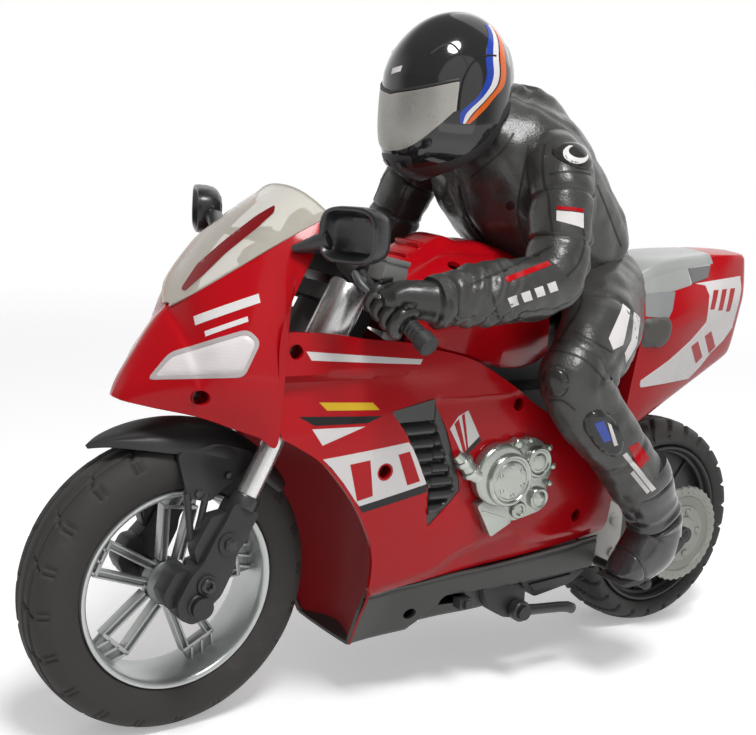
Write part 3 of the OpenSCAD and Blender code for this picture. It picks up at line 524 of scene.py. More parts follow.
class Finish:
    """A material, or the surround, under construction."""

    def __init__(self, name, owner=None):
        self.material = owner or bpy.data.materials.new(name)
        self.material.use_nodes = True
        self.tree = self.material.node_tree
        self.tree.nodes.clear()
        self.place = self.node("ShaderNodeTexCoord", out="Object")

    def node(self, kind, settings=None, sockets=None, out=0):
        """Any node: its settings first, then the values or links of its sockets."""
        made = self.tree.nodes.new(kind)
        for key, value in (settings or {}).items():
            setattr(made, key, value)
        for key, value in (sockets or {}).items():
            if isinstance(value, Value):
                self.tree.links.new(value.socket, made.inputs[key])
            else:
                made.inputs[key].default_value = value
        return Value(self, made.outputs[out]) if made.outputs else None

    def ray(self, kind):
        """1 where the light path is of a kind."""
        return self.node("ShaderNodeLightPath", out=kind)

    def larger(self, a, b):
        """The larger of two values."""
        return self.node("ShaderNodeMath", {"operation": "MAXIMUM"}, {0: a, 1: b})

    def noise(self, scale, detail=3.0, rough=0.5, stretch=None):
        """Noise over the object's own place, finer with scale."""
        where = self.place
        if stretch:
            where = self.node("ShaderNodeVectorMath", {"operation": "MULTIPLY"}, {0: where, 1: stretch})
        return self.node("ShaderNodeTexNoise", None,
                         {"Vector": where, "Scale": scale, "Detail": detail, "Roughness": rough})

    def cells(self, scale, feature="F1"):
        """Cell pattern, as in grained hide."""
        return self.node("ShaderNodeTexVoronoi", {"feature": feature}, {"Vector": self.place, "Scale": scale})

    def blend(self, a, b, t):
        """Colour between two colours."""
        a, b = (x if isinstance(x, Value) else (*x[:3], 1.0) for x in (a, b))
        return self.node("ShaderNodeMix", {"data_type": "RGBA"}, {0: t, 6: a, 7: b}, out=2)

    def raised(self, height, strength, distance=0.0004, normal=None):
        """Bump from a height."""
        links = {"Height": height, "Strength": strength, "Distance": distance}
        if normal:
            links["Normal"] = normal
        return self.node("ShaderNodeBump", None, links)

    def done(self, colour, rough, normal, slot, **fixed):
        """Ends the material in one principled shader."""
        links = {"Base Color": colour, "Roughness": rough, "Normal": normal}
        for key, value in fixed.items():
            links[key.replace("_", " ")] = value
        shader = self.node("ShaderNodeBsdfPrincipled", None, links)
        self.node("ShaderNodeOutputMaterial", None, {"Surface": shader})
        self.material["slot"] = slot
        return self.material


def tint(colour, k):
    """A colour made lighter or darker."""
    return tuple(min(1.0, c * k) for c in colour[:3])


def lacquer(name, colour, slot, rough=0.2, coat=0.15, mottle=0.06, metal=0.0):
    """Gloss paint on moulded plastic, with faint ripples, dust and handling marks."""
    f = Finish(name)
    ripple = f.noise(260, 2)
    cloud = f.noise(30, 4)
    dust = f.noise(2600, 2).between(0.62, 0.8)
    tone = f.blend(tint(colour, 1 - mottle), tint(colour, 1 + mottle), cloud)
    tone = f.blend(tone, (0.6, 0.5, 0.48), dust * 0.03)
    worn = rough + (cloud - 0.5) * 0.14 + dust * 0.12
    return f.done(tone, worn, f.raised(ripple, 0.05, 0.0003), slot,
                  Coat_Weight=coat, Coat_Roughness=0.05, Metallic=metal, Specular_IOR_Level=0.18)


def grey_coat(name, colour):
    """Grey paint of the tail's hump, with a little metal in it."""
    return lacquer(name, colour, "silver", 0.3, 0.3, 0.06, 0.1)


def moulded(name, colour, slot, rough=0.5, grain=1500, depth=0.25, metal=0.0, coat=0.0):
    """Moulded plastic with a fine spark grain and paler rubbed edges."""
    f = Finish(name)
    fine = f.noise(grain, 4, 0.65)
    cloud = f.noise(40, 3)
    rub = f.node("ShaderNodeNewGeometry", out="Pointiness").between(0.52, 0.62)
    tone = f.blend(tint(colour, 0.86), tint(colour, 1.14), cloud)
    tone = f.blend(tone, tint(colour, 1.9), rub * 0.45)
    worn = rough + (fine - 0.5) * 0.2 + (cloud - 0.5) * 0.16
    return f.done(tone, worn, f.raised(fine, depth, 0.00018), slot, Metallic=metal, Coat_Weight=coat)


def hide(name, colour, slot, rough=0.35, scale=1150, depth=0.5, fold=0.5, coat=0.22):
    """Grained leather look: cells and creases, with painted sheen where the colour is made lighter along the
    crests of the creases.
    """
    f = Finish(name)
    cell = f.cells(scale)
    crease = f.noise(95, 5, 0.6, (1.0, 1.0, 2.2))
    cloud = f.noise(34, 3)
    tone = f.blend(tint(colour, 0.72), tint(colour, 1.28), cloud)
    # Painted sheen: lighter colour along the crests of the creases
    tone = f.blend(tone, tint(colour, 1.8), crease.between(0.58, 0.75) * 0.35)
    worn = rough + (cloud - 0.5) * 0.22 + (cell - 0.4) * 0.12
    normal = f.raised(crease, fold, 0.0009)
    return f.done(tone, worn, f.raised(cell, depth, 0.00012, normal), slot, Coat_Weight=coat,
                  Coat_Roughness=0.2)


def rubbery(name, colour, slot, rough=0.72):
    """Tyre rubber: fine speckle and dusty bloom."""
    f = Finish(name)
    speck = f.noise(2200, 3, 0.7)
    bloom = f.noise(55, 5, 0.6)
    tone = f.blend(tint(colour, 0.78), tint(colour, 1.2), bloom)
    tone = f.blend(tone, (0.16, 0.145, 0.13), bloom.between(0.55, 0.85) * 0.18)
    worn = rough + (speck - 0.5) * 0.2 + (bloom - 0.5) * 0.16
    return f.done(tone, worn, f.raised(speck, 0.3, 0.0002), slot)


def cast(name, colour, slot, rough=0.28, metal=0.9, grain=900, stretch=None, depth=0.12):
    """Bright metal or metal-look plating, brushed where stretch is set, with painted shade in hollows and
    painted highlights on sharp edges.
    """
    f = Finish(name)
    line = f.noise(grain, 3, 0.6, stretch)
    cloud = f.noise(60, 3)
    edge = f.node("ShaderNodeNewGeometry", out="Pointiness")
    tone = f.blend(tint(colour, 0.82), tint(colour, 1.12), cloud)
    # Painted shade: darker in hollows, where pointiness is low
    tone = f.blend(tone, tint(colour, 0.42), edge.between(0.49, 0.42) * 0.6)
    # Painted highlight: lighter on sharp edges, where pointiness is high
    tone = f.blend(tone, tint(colour, 1.35), edge.between(0.53, 0.62) * 0.6)
    worn = rough + (line - 0.5) * 0.18 + (cloud - 0.5) * 0.12
    return f.done(tone, worn, f.raised(line, depth, 0.0002), slot, Metallic=metal)


def clear(name, colour, slot, alpha, rough=0.06):
    """Tinted clear plastic with faint scratches."""
    f = Finish(name)
    haze = f.noise(24, 3)
    scratch = f.noise(900, 2, 0.5, (1.0, 0.08, 0.3)).between(0.66, 0.8)
    tone = f.blend(tint(colour, 0.97), tint(colour, 1.03), haze)
    veil = alpha + (haze - 0.5) * 0.06 + scratch * 0.05
    return f.done(tone, rough + scratch * 0.1, f.raised(haze, 0.03, 0.0005), slot,
                  Alpha=veil, Coat_Weight=0.6, Coat_Roughness=0.03, Specular_IOR_Level=0.6)


def lamp_glass(name, colour, slot):
    """Pale lamp lens with moulded flutes."""
    f = Finish(name)
    flute = f.node("ShaderNodeTexWave", {"wave_type": "BANDS", "bands_direction": "Z"},
                   {"Vector": f.place, "Scale": 260.0, "Distortion": 0.4})
    cloud = f.noise(70, 3)
    tone = f.blend(tint(colour, 0.8), tint(colour, 1.08), cloud)
    return f.done(tone, 0.4 + cloud * 0.1, f.raised(flute, 0.06, 0.0003), slot, Coat_Weight=0.15,
                  Coat_Roughness=0.1)


FINISHES = {}


def finish(key):
    """The finish of that name, made once."""
    if key not in FINISHES:
        c = bpy.context.scene.moto_paint
        recipes = {
            "red": (lacquer, "red_lacquer", c.red, "red"),
            # Darker red for the walls of screw holes and a band near the screen's edge: painted shade
            "deep_red": (lacquer, "deep_red_lacquer", tint(c.red, 0.45), "red", 0.3),
            "white": (lacquer, "white_vinyl", c.white, "red", 0.28, 0.25, 0.03),
            "yellow": (lacquer, "yellow_vinyl", (0.8, 0.5, 0.02), "red", 0.28, 0.25, 0.04),
            "ink": (lacquer, "black_vinyl", (0.012, 0.012, 0.013), "black_plastic", 0.3, 0.25, 0.1),
            "grey_paint": (grey_coat, "grey_lacquer", (0.4, 0.41, 0.4)),
            # Lighter and darker copies of the tail's grey paint: painted light (pale) and painted shade (mid
            # and dark)
            "pale_paint": (grey_coat, "pale_grey_lacquer", (0.55, 0.56, 0.55)),
            "mid_paint": (grey_coat, "mid_grey_lacquer", (0.3, 0.31, 0.31)),
            "dark_paint": (grey_coat, "dark_grey_lacquer", (0.17, 0.17, 0.175)),
            "trim": (moulded, "dark_moulding", c.trim, "black_plastic", 0.5),
            "satin": (moulded, "satin_moulding", tint(c.trim, 1.1), "black_plastic", 0.36, 1800, 0.12, 0.0,
                      0.15),
            "pan": (moulded, "grey_moulding", (0.047, 0.047, 0.044), "grey_plastic", 0.46),
            "seat": (moulded, "seat_moulding", (0.075, 0.073, 0.066), "seat", 0.5, 900, 0.5),
            "rubber": (rubbery, "tyre_rubber", c.rubber, "tyre"),
            "rear_rubber": (rubbery, "rear_tyre_rubber", tint(c.rubber, 0.65), "tyre", 0.6),
            "silver": (cast, "silver_rim", (0.5, 0.52, 0.51), "silver", 0.34, 0.75),
            "bright": (cast, "bright_plating", (0.42, 0.445, 0.405), "chrome", 0.24, 0.8),
            "sprocket": (cast, "sprocket_plating", (0.265, 0.265, 0.24), "chrome", 0.36, 0.6),
            "spoke": (cast, "spoke_plating", (0.4, 0.41, 0.4), "silver", 0.36, 0.65),
            # Darker red for the forward-facing front duct: painted shade
            "duct_red": (lacquer, "duct_red_lacquer", tint(c.red, 0.72), "red", 0.5, 0.0),
            "chrome": (cast, "chrome_tube", (0.76, 0.77, 0.77), "chrome", 0.16, 1.0, 500, (1.0, 1.0, 0.05),
                       0.05),
            "steel": (cast, "brushed_steel", (0.5, 0.5, 0.5), "steel", 0.3, 0.95, 900, (1.0, 0.06, 1.0)),
            "dark_metal": (cast, "blackened_metal", (0.03, 0.03, 0.031), "black_metal", 0.4, 0.5),
            "brass": (cast, "turned_brass", (0.7, 0.52, 0.22), "brass", 0.25, 1.0),
            "gear": (moulded, "gear_nylon", (0.72, 0.69, 0.6), "gear", 0.5, 1200, 0.15),
            "battery": (moulded, "battery_film", (0.07, 0.13, 0.32), "battery", 0.35, 700, 0.2),
            "board": (moulded, "board_lacquer", (0.04, 0.22, 0.1), "board", 0.4, 700, 0.2),
            "grey": (moulded, "frame_moulding", (0.06, 0.06, 0.062), "grey_plastic", 0.5),
            "pale_grey": (moulded, "pale_moulding", (0.42, 0.41, 0.38), "silver", 0.4, 1200, 0.15, 0.2),
            "suit": (hide, "suit_hide", c.suit, "suit"),
            "glove": (hide, "glove_hide", tint(c.suit, 0.55), "glove", 0.36, 1300, 0.4, 0.3),
            "boot": (hide, "boot_hide", (0.034, 0.031, 0.033), "glove", 0.2, 900, 0.12, 0.2, 0.6),
            "helmet": (lacquer, "helmet_lacquer", (0.019, 0.019, 0.019), "helmet", 0.14, 1.0, 0.2),
            "visor": (cast, "mirror_visor", (0.41, 0.395, 0.366), "visor", 0.3, 0.45, 300, None, 0.03),
            "blue": (lacquer, "blue_band", (0.02, 0.06, 0.4), "helmet", 0.2, 0.8),
            "orange": (lacquer, "orange_band", (0.75, 0.13, 0.01), "helmet", 0.2, 0.8),
            "screen": (clear, "tinted_screen", c.screen, "clear", 0.52),
            "screen_edge": (clear, "screen_edge", tint(c.screen, 0.85), "clear", 0.7),
            "lamp_rim": (lacquer, "lamp_rim", (0.5, 0.44, 0.44), "lens", 0.2, 0.8, 0.05),
            "vent": (moulded, "vent_moulding", tint(c.trim, 1.2), "black_plastic", 0.34, 1500, 0.12, 0.0,
                     0.2),
            "dark_silver": (cast, "dark_plating", (0.2, 0.21, 0.21), "silver", 0.36, 0.7),
            "dark_rim": (moulded, "dark_rim", (0.02, 0.02, 0.021), "black_metal", 0.34, 1200, 0.12, 0.2),
            "pale_tube": (cast, "fork_tube_plating", (0.62, 0.62, 0.61), "chrome", 0.26, 0.8, 500,
                          (1.0, 1.0, 0.08), 0.05),
            "mid_grey": (moulded, "reservoir_moulding", (0.17, 0.17, 0.165), "grey_plastic", 0.4, 1000,
                         0.2),
            "mirror": (moulded, "mirror_moulding", (0.013, 0.0135, 0.014), "black_plastic", 0.36, 1500,
                       0.12, 0.0, 0.2),
            # Dark strips along the suit's seams: painted shade of the seam grooves
            "seam": (moulded, "seam_thread", (0.011, 0.011, 0.011), "suit", 0.6),
            "pad": (lacquer, "suit_pad_gloss", (0.03, 0.029, 0.028), "suit", 0.26, 0.5, 0.2),
            "lens": (lamp_glass, "lamp_lens", (0.84, 0.78, 0.78), "lens"),
        }
        maker, *settings = recipes[key]
        FINISHES[key] = maker(*settings)
    return FINISHES[key]


def cut(obj, geo):
    """Takes one mesh out of a piece."""
    mesh = bpy.data.meshes.new("cutter")
    mesh.from_pydata([((p[0] + SHIFT) * MM, p[1] * MM, p[2] * MM) for p in geo[0]], [], geo[1])
    tool = bmesh.new()
    tool.from_mesh(mesh)
    bmesh.ops.recalc_face_normals(tool, faces=tool.faces)
    tool.to_mesh(mesh)
    tool.free()
    cutter = bpy.data.objects.new("cutter", mesh)
    bpy.context.collection.objects.link(cutter)
    step = obj.modifiers.new("cut", "BOOLEAN")
    step.object = cutter
    step.operation = "DIFFERENCE"
    step.solver = "EXACT"
    settle(obj)
    bpy.data.objects.remove(cutter)


def settle(obj):
    """Turns a piece's modifiers into its own mesh."""
    shape = bpy.data.meshes.new_from_object(obj.evaluated_get(bpy.context.evaluated_depsgraph_get()))
    obj.modifiers.clear()
    obj.data = shape


def piece(name, geo, key, body="frame", nodes=(), side=1, sharp=38, bevel=0.0, rounds=2, sub=0, cuts=()):
    """One finished piece from a mesh in drawing millimetres; side -1 mirrors it."""
    mesh = bpy.data.meshes.new(name)
    mesh.from_pydata([((p[0] + SHIFT) * MM, p[1] * side * MM, p[2] * MM) for p in geo[0]], [], geo[1])
    tool = bmesh.new()
    tool.from_mesh(mesh)
    bmesh.ops.remove_doubles(tool, verts=tool.verts, dist=2e-6)
    bmesh.ops.delete(tool, geom=[v for v in tool.verts if not v.link_faces], context="VERTS")
    bmesh.ops.recalc_face_normals(tool, faces=tool.faces)
    tool.to_mesh(mesh)
    tool.free()
    obj = bpy.data.objects.new(name, mesh)
    bpy.context.collection.objects.link(obj)
    for c in cuts:
        cut(obj, ([(p[0], p[1] * side, p[2]) for p in c[0]], c[1]))
    if sub:
        step = obj.modifiers.new("rounding", "SUBSURF")
        step.levels = step.render_levels = sub
    if bevel:
        step = obj.modifiers.new("edges", "BEVEL")
        step.width = bevel * MM
        step.segments = rounds
        step.limit_method = "ANGLE"
        step.angle_limit = math.radians(32)
    if obj.modifiers:
        settle(obj)
    obj.data.shade_smooth()
    obj.data.set_sharp_from_angle(angle=math.radians(sharp))
    obj.data.materials.clear()
    obj.data.materials.append(finish(key))
    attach(obj, body)
    if nodes:
        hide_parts(*nodes)
    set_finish(obj, finish(key)["slot"])
    return obj


def twin(geo):
    """A mesh and its mirror image across the middle."""
    return join(geo, ([(x, -y, z) for x, y, z in geo[0]], geo[1]))


def pair(name, geo, key, body="frame", node=None, **options):
    """A left piece and its mirrored right twin."""
    for side, end in ((1, "left"), (-1, "right")):
        piece(name + "_" + end, geo, key, body, (node + "_" + end,) if node else (), side, **options)


# Wheels

def road_tread(a, y, r):
    """Depth of the front tyre's grooves at an angle and a place across the tread."""
    wide = abs(y)
    turn = math.degrees(a) + (5 if y > 0 else 14)
    d = 0.9 * hump(wide, 2.6, 0.5) + 0.9 * hump(wide, 6.0, 0.5)
    notch = (turn + wide * 0.8) % 18 - 9
    d += 1.3 * hump(notch, 0, 0.7) * smooth(2.4, 2.9, wide) * (1 - smooth(8.2, 8.8, wide))
    dash = (turn + 6) % 18 - 9
    line = hump(dash, -1.3, 0.7) + hump(dash, 1.5, 0.7)
    d += 0.9 * line * smooth(48.4, 49.2, r) * (1 - smooth(52.4, 53.0, r))
    return d


def block_tread(a, y, r):
    """Depth of the rear tyre's slanted block grooves."""
    wide = abs(y)
    turn = math.degrees(a) + (0 if y > 0 else 7) + wide * 1.1
    step = turn % 14 - 7
    d = (1.5 * (smooth(-1.7, -1.0, step) - smooth(1.0, 1.7, step))
         * smooth(2.2, 3.2, wide) * smooth(40.5, 42.5, r))
    d += 0.9 * hump(wide, 1.6, 0.5)
    return d


def tyre(centre, section, tread, count, across=46):
    """A tyre turned from its section, with the tread cut in."""
    line = trail(section, across)
    rows = []
    for j in range(count):
        a = 2 * math.pi * j / count
        row = []
        for k, (y, r) in enumerate(line):
            y0, r0 = line[max(k - 1, 0)]
            y1, r1 = line[min(k + 1, len(line) - 1)]
            n = Vector((r1 - r0, y0 - y1)).normalized()
            d = tread(a, y, r)
            y2, r2 = y + n[0] * d, r + n[1] * d
            row.append((centre[0] + r2 * math.cos(a), y2, centre[2] + r2 * math.sin(a)))
        rows.append(row)
    return grid(rows, ring=True, loop=True)


def wheel_bar(centre, angle, a, b, width, y0, y1):
    """A bar in a wheel, from (radius, offset) a to b, at an angle."""
    c, s = math.cos(angle), math.sin(angle)
    (r0, t0), (r1, t1) = a, b
    d = Vector((r1 - r0, t1 - t0)).normalized()
    n = Vector((-d[1], d[0])) * width * 0.5
    flat = [(r0 + n[0], t0 + n[1]), (r1 + n[0], t1 + n[1]), (r1 - n[0], t1 - n[1]), (r0 - n[0], t0 - n[1])]
    return slab([(centre[0] + r * c - t * s, centre[2] + r * s + t * c) for r, t in flat], y0, y1)


def front_wheel(sizes):
    """Front tyre, rim with paired spokes, and hub."""
    section = mirrored([(-9.4, 37.6), (-11.4, 38.5), (-12.7, 42), (-13, 45.5), (-12.3, 49), (-10, 52.2),
                        (-6, 54.3), (0, 55)])
    piece("front_tyre_tread", tyre(FRONT_AXLE, section, road_tread, 420, 118), "rubber", "front_wheel",
          ("front_tyre",))
    ring = mirrored([(10.9, 37.55), (11.6, 37.2), (11.7, 36.4), (11.2, 35.5), (10.2, 35.0), (8.6, 34.6),
                     (3, 33.9)])
    ring = turned(ring, FRONT_AXLE, 180, True)
    bars, webs = [], []
    for k in range(sizes.spokes):
        a = math.radians(26) + k * 2 * math.pi / sizes.spokes
        for s in (-1, 1):
            lo, hi = (8.2, 3.4 * s), (29.2, 5.6 * s)
            for e in (-1.15, 1.15):
                bars.append(wheel_bar(FRONT_AXLE, a, (lo[0], lo[1] + e), (hi[0], hi[1] + e), 0.75, -2.4, 2.4))
            webs.append(wheel_bar(FRONT_AXLE, a, lo, hi, 2.3, -1.4, 1.4))
        bars.append(wheel_bar(FRONT_AXLE, a, (28.6, -6.6), (28.6, 6.6), 1.5, -2.5, 2.5))
        for t in (-6.2, -1.6, 3.0):
            bars.append(wheel_bar(FRONT_AXLE, a, (28.6, t), (34.8, t + 2.6), 1.0, -2.5, 2.5))
        webs.append(wheel_bar(FRONT_AXLE, a, (31.4, -5.4), (31.4, 6.4), 6.4, -1.4, 1.4))
    hub = mirrored([(5.2, 2.2), (5.2, 4.4), (4.6, 5.0), (3.8, 6.4), (2.8, 8.6)])
    hub = turned(hub, FRONT_AXLE, 60, True)
    piece("front_rim_ring", ring, "silver", "front_wheel", ("front_rim",))
    piece("front_spokes", join(*bars), "spoke", "front_wheel", bevel=0.16)
    piece("front_hub", hub, "dark_silver", "front_wheel", bevel=0.2)
    piece("front_spoke_webs", join(*webs), "dark_silver", "front_wheel", bevel=0.12)


def rear_wheel():
    """Rear tyre, dark spoked rim and bright sprocket disc."""
    section = mirrored([(-10.2, 37.3), (-12.2, 38.4), (-13.6, 40.5), (-14, 42.4), (-13.2, 44.6),
                        (-10.4, 46.6), (-5.6, 48.1), (0, 48.5)])
    piece("rear_tyre_tread", tyre(REAR_AXLE, section, block_tread, 600), "rear_rubber", "rear_wheel",
          ("rear_tyre",))
    ring = mirrored([(11.6, 37.4), (12.4, 36.9), (12.4, 36.0), (11.2, 35.2), (9.6, 34.8), (8.8, 33.6),
                     (3, 33.0)])
    parts = [turned(ring, REAR_AXLE, 150, True)]
    for k in range(12):
        a = math.radians(8) + k * math.pi / 6
        for y0, y1 in ((-7.2, -5.2), (5.2, 7.2)):
            parts.append(wheel_bar(REAR_AXLE, a, (7.2, 0), (33.6, 0), 1.5, y0, y1))
    web = [(6.4, 11), (6.4, 33.4), (5.0, 33.4), (5.0, 11)]
    parts.append(turned(web, REAR_AXLE, 90, True))
    parts.append(turned([(-y, r) for y, r in web], REAR_AXLE, 90, True))
    parts.append(turned(mirrored([(8.6, 2.1), (8.6, 8.6), (7.6, 11.4)]), REAR_AXLE, 60, True))
    piece("rear_rim_dark", join(*parts), "dark_rim", "rear_wheel", ("rear_rim",), bevel=0.14)
    x, z = REAR_AXLE[0], REAR_AXLE[2]
    plate = [(25.3, 2.2), (25.3, 21.2), (25.8, 21.8), (27.0, 21.8), (27.5, 21.2), (27.5, 18.0), (26.9, 17.4),
             (26.9, 13.4), (27.5, 13.0), (27.5, 8.4), (28.2, 7.8), (28.2, 2.2)]

    def teeth(a, profile):
        tip = 0.5 * smooth(-0.3, 0.3, math.sin(34 * a))
        return [(y, r + (tip if r > 21 else 0)) for y, r in profile]

    parts = [turned(plate, (x, 0, z), 272, True, teeth)]
    for k in range(30):
        a = 2 * math.pi * k / 30
        parts.append(turned([(26.6, 0.0), (27.9, 0.0), (27.8, 0.45), (27.4, 0.72), (26.6, 0.8)],
                            (x + 19.6 * math.cos(a), 0, z + 19.6 * math.sin(a)), 10))
    for k in range(5):
        a = 0.6 + 2 * math.pi * k / 5
        parts.append(turned([(26.4, 0.0), (28.5, 0.0), (28.4, 1.2), (27.8, 1.8), (26.4, 1.9)],
                            (x + 10.2 * math.cos(a), 0, z + 10.2 * math.sin(a)), 20))
    piece("rear_sprocket_disc", join(*parts), "sprocket", "rear_wheel", ("rear_sprocket",))
    end = [(28.0, 0), (30.6, 0), (30.6, 1.5), (30.2, 2.1), (28.0, 2.1)]
    nut = [hexagon(x, z, 3.5, 28.2, 30.0), turned(end, (x, 0, z), 24)]
    piece("rear_axle_nut", join(*nut), "dark_metal", "rear_wheel", bevel=0.2)


# Fork and fender

def fork():
    """Fork legs, wide upper sleeves and front fender."""
    leg = soft([(5.6, 38), (-5.6, 38), (-5.6, 27), (-4.6, 22), (-6.4, 17), (-6.6, 6), (-4.6, 1),
                (-4.8, -3.5), (-1, -7.2), (5, -7), (8.4, -2), (8.2, 8), (6.2, 14), (6.2, 24), (5.6, 30)],
               1.6, 3)
    parts = [slab(leg, 18.6, 27.4)]
    parts.append(turned([(18.6, 0), (28.6, 0), (28.6, 3.6), (28.0, 4.2), (18.6, 4.4)], (0.6, 0, 0), 32))
    parts.append(disc(0.6, 24, 4.2, 26, 28.4))
    parts.append(disc(1.2, 7.8, 3.9, 26, 28.6))
    parts.append(slab(soft([(5, 34), (10.5, 30), (11, 17), (6, 12), (4, 20)], 1.2, 3), 19.6, 25.4))
    parts.append(slab(soft([(8, 10), (12.5, 7), (13, -2), (8, -6), (4, 0)], 1.5, 3), 15.2, 24))
    pair("fork_leg", forked(join(*parts)), "trim", "fork_slider", "fork_lower", bevel=0.6)
    bolts = [hexagon(0.6, 24, 2.5, 28.2, 29.8), disc(0.6, 24, 1.7, 29.6, 30.2, 18)]
    ring = [(28.4, 1.3), (29.6, 1.3), (29.8, 1.7), (29.8, 2.4), (29.4, 2.8), (28.4, 2.8)]
    bolts.append(turned(ring, (1.2, 0, 7.8), 24, True))
    pair("fork_bolt", forked(join(*bolts)), "satin", "fork_slider", bevel=0.2)
    seal = ((37.4, 5.5), (41.4, 5.5), (42.2, 4.95), (42.2, 4.125), (37.4, 4.125))
    pair("fork_seal", about_leg(seal, 36), "satin", "fork_slider")
    sleeve = ((96, 4.1), (96, 7.0), (97, 7.6), (125, 7.6), (126, 7.0), (126, 4.1))
    pair("fork_sleeve", about_leg(sleeve, 40), "pale_tube", "steering")
    strut = join(tube([(116, 18.4, 94), (115, 18.9, 84), (113.6, 19.4, 74)], 1.3, 10),
                 tube([(108.4, 18.4, 93), (110.4, 18.9, 84), (113.2, 19.4, 74)], 1.3, 10))
    pair("brake_stay", strut, "trim", "fork_slider")
    fender()


def fender():
    """Front fender: a pinched crown with a pointed tip, side skirts and stays down to the legs."""
    # Rows of x, z, half width and drop of the edge
    line = [(146.4, 109.4, 0.3, 0.2), (141.6, 111.8, 4.4, 1.8), (134, 114, 9.4, 4.2),
            (124, 115.6, 13.2, 6.8), (112, 116, 15.2, 8.6), (100, 114.4, 15.6, 9.4), (90, 110.6, 15.2, 9.2),
            (81, 104.4, 14.4, 8.4), (74, 97.2, 13.2, 7.0), (69.4, 91.4, 11.8, 5.2)]
    rows = []
    for x, z, w, d in trail(line, 60):
        n = Vector((x - FRONT_AXLE[0], z - FRONT_AXLE[2])).normalized()
        row = []
        for k in range(33):
            s = -1 + k / 16
            drop = d * abs(s) ** 2.6 + 0.5 * hump(abs(s), 0.55, 0.12) * min(1, w / 10)
            row.append((x - n[0] * drop, w * math.sin(s * 1.5), z - n[1] * drop))
        rows.append(row)

    def wall(p):
        return -1.3 * Vector((p[0] - FRONT_AXLE[0], p[1] * 1.6, p[2] - FRONT_AXLE[2])).normalized()

    shell = thick(grid(rows), wall)
    piece("fender_shell", shell, "trim", "fork_slider", ("front_fender",), sharp=50)
    web = [(118.1, 107.4), (116.8, 98), (116, 92.1), (107.7, 90), (101.4, 94.2), (95.4, 97.2), (89.4, 101),
           (88.6, 105.6), (104, 110)]
    flat, tris = fill(soft(web, 2.0, 3), 1.6)
    sheet = [(x, 14.6 + 4.2 * smooth(108, 91, z) + 0.8 * hump(x, 108, 5), z) for x, z in flat]
    pair("fender_stay", thick((sheet, tris), (0, -1.6, 0)), "trim", "fork_slider", sharp=50)
    pair("fender_bolt", join(hexagon(111.6, 93.4, 1.8, 18.4, 20), hexagon(99.4, 98.4, 1.6, 17.2, 18.8)),
         "satin", "fork_slider", bevel=0.2)


# Body shells

# Rows of the nose cowl from tip to window: lower edge, upper edge and bulge
COWL = [(137.4, 0, 126.4, 136.4, 0, 128.6, 0), (135.2, 6, 125.7, 132.6, 0, 136.2, 1.5),
        (128, 13, 124.5, 126.9, 0, 145.5, 3.5), (120, 20.5, 123.5, 121.5, 0, 153.2, 5.5),
        (114.5, 25, 122.4, 118, 0, 157, 7), (106.5, 30.5, 119.6, 112.8, 12, 163.8, 8),
        (98, 34.5, 116.6, 101, 20.5, 173.6, 7.5), (91.6, 37.8, 115.2, 89.7, 25, 181.6, 5),
        (92.8, 37.4, 151, 80, 26.2, 187.2, 3), (84.6, 36.4, 172.4, 69.4, 27, 192.2, 1)]
# Edges of the side fairing and outline of its vent, in x and z
FRONT_EDGE = [(44, 24), (46, 34), (47.6, 46), (47.6, 60), (49.8, 71), (54, 80), (59.4, 89), (66.4, 98),
              (74, 106), (83, 112), (89.4, 115.5)]
LOW_EDGE = [(-75, 59.7), (-30, 56.5), (6, 54.3), (34.6, 51.1), (45, 49.6)]
LIP = [(-75, 61.4), (-24.8, 62.3), (-17.9, 67.5), (9.3, 61.8), (16.2, 57.1), (34.8, 52.7), (51.9, 50)]
TOP_EDGE = [(86.2, 153), (71, 152), (59, 150), (41, 148), (31, 145.5), (10, 140), (-10, 129), (-35, 114),
            (-75, 100)]
VENT = [(46, 122.8), (26.8, 126.3), (19.9, 113.7), (12.3, 94), (11.3, 89.1), (14.7, 85.5), (25.3, 75.8),
        (26.4, 82), (27.4, 92), (33.9, 104.6), (39.3, 114.3)]
# Rows of the belly pan: x, then half width and height at its upper edge and at its foot
PAN = [(-69, 35.8, 58.8, 32, 40), (-51, 37, 57.5, 33, 37.2), (-32, 38, 56.2, 33, 34.6),
       (-14, 38, 55, 32, 32.4), (6.5, 37, 53.8, 30, 31.4), (20, 35.5, 52.3, 27, 29.4),
       (34, 33.4, 50.7, 21.6, 26.2), (40, 33.4, 50, 19.4, 24.6), (46, 33.4, 49.7, 18.2, 23.6)]


def cup(x, y, z, r, depth=4.0):
    """A blind screw hole let into a side shell."""
    wall = [(y + 0.1, r), (y + 0.1, r + 0.35), (y - depth - 0.6, r + 0.35), (y - depth - 0.6, 0),
            (y - depth, 0), (y - depth, r)]
    return turned(wall, (x, 0, z), 28)


def screw(x, y, z, r):
    """A cross-head screw at the bottom of a hole."""
    return join(turned([(y, 0), (y + 0.9, 0), (y + 0.8, r * 0.6), (y + 0.3, r), (y, r)], (x, 0, z), 20),
                brick((x - r * 0.6, y + 0.5, z - 0.25), (x + r * 0.6, y + 1.0, z + 0.25)))


def cowl_at(u, v):
    """Left half of the nose cowl: u from nose to window, v from lower to upper edge."""
    s = along(COWL, u)
    nose = smooth(5.2, 3.4, u)
    k = (1 - v) ** (1 - 0.32 * nose)
    y = max(0.0, s[4]) * (1 - k) + max(0.0, s[1]) * k + s[6] * math.sin(math.pi * v)
    return (s[0] + (s[3] - s[0]) * v, y, s[2] + (s[5] - s[2]) * v)


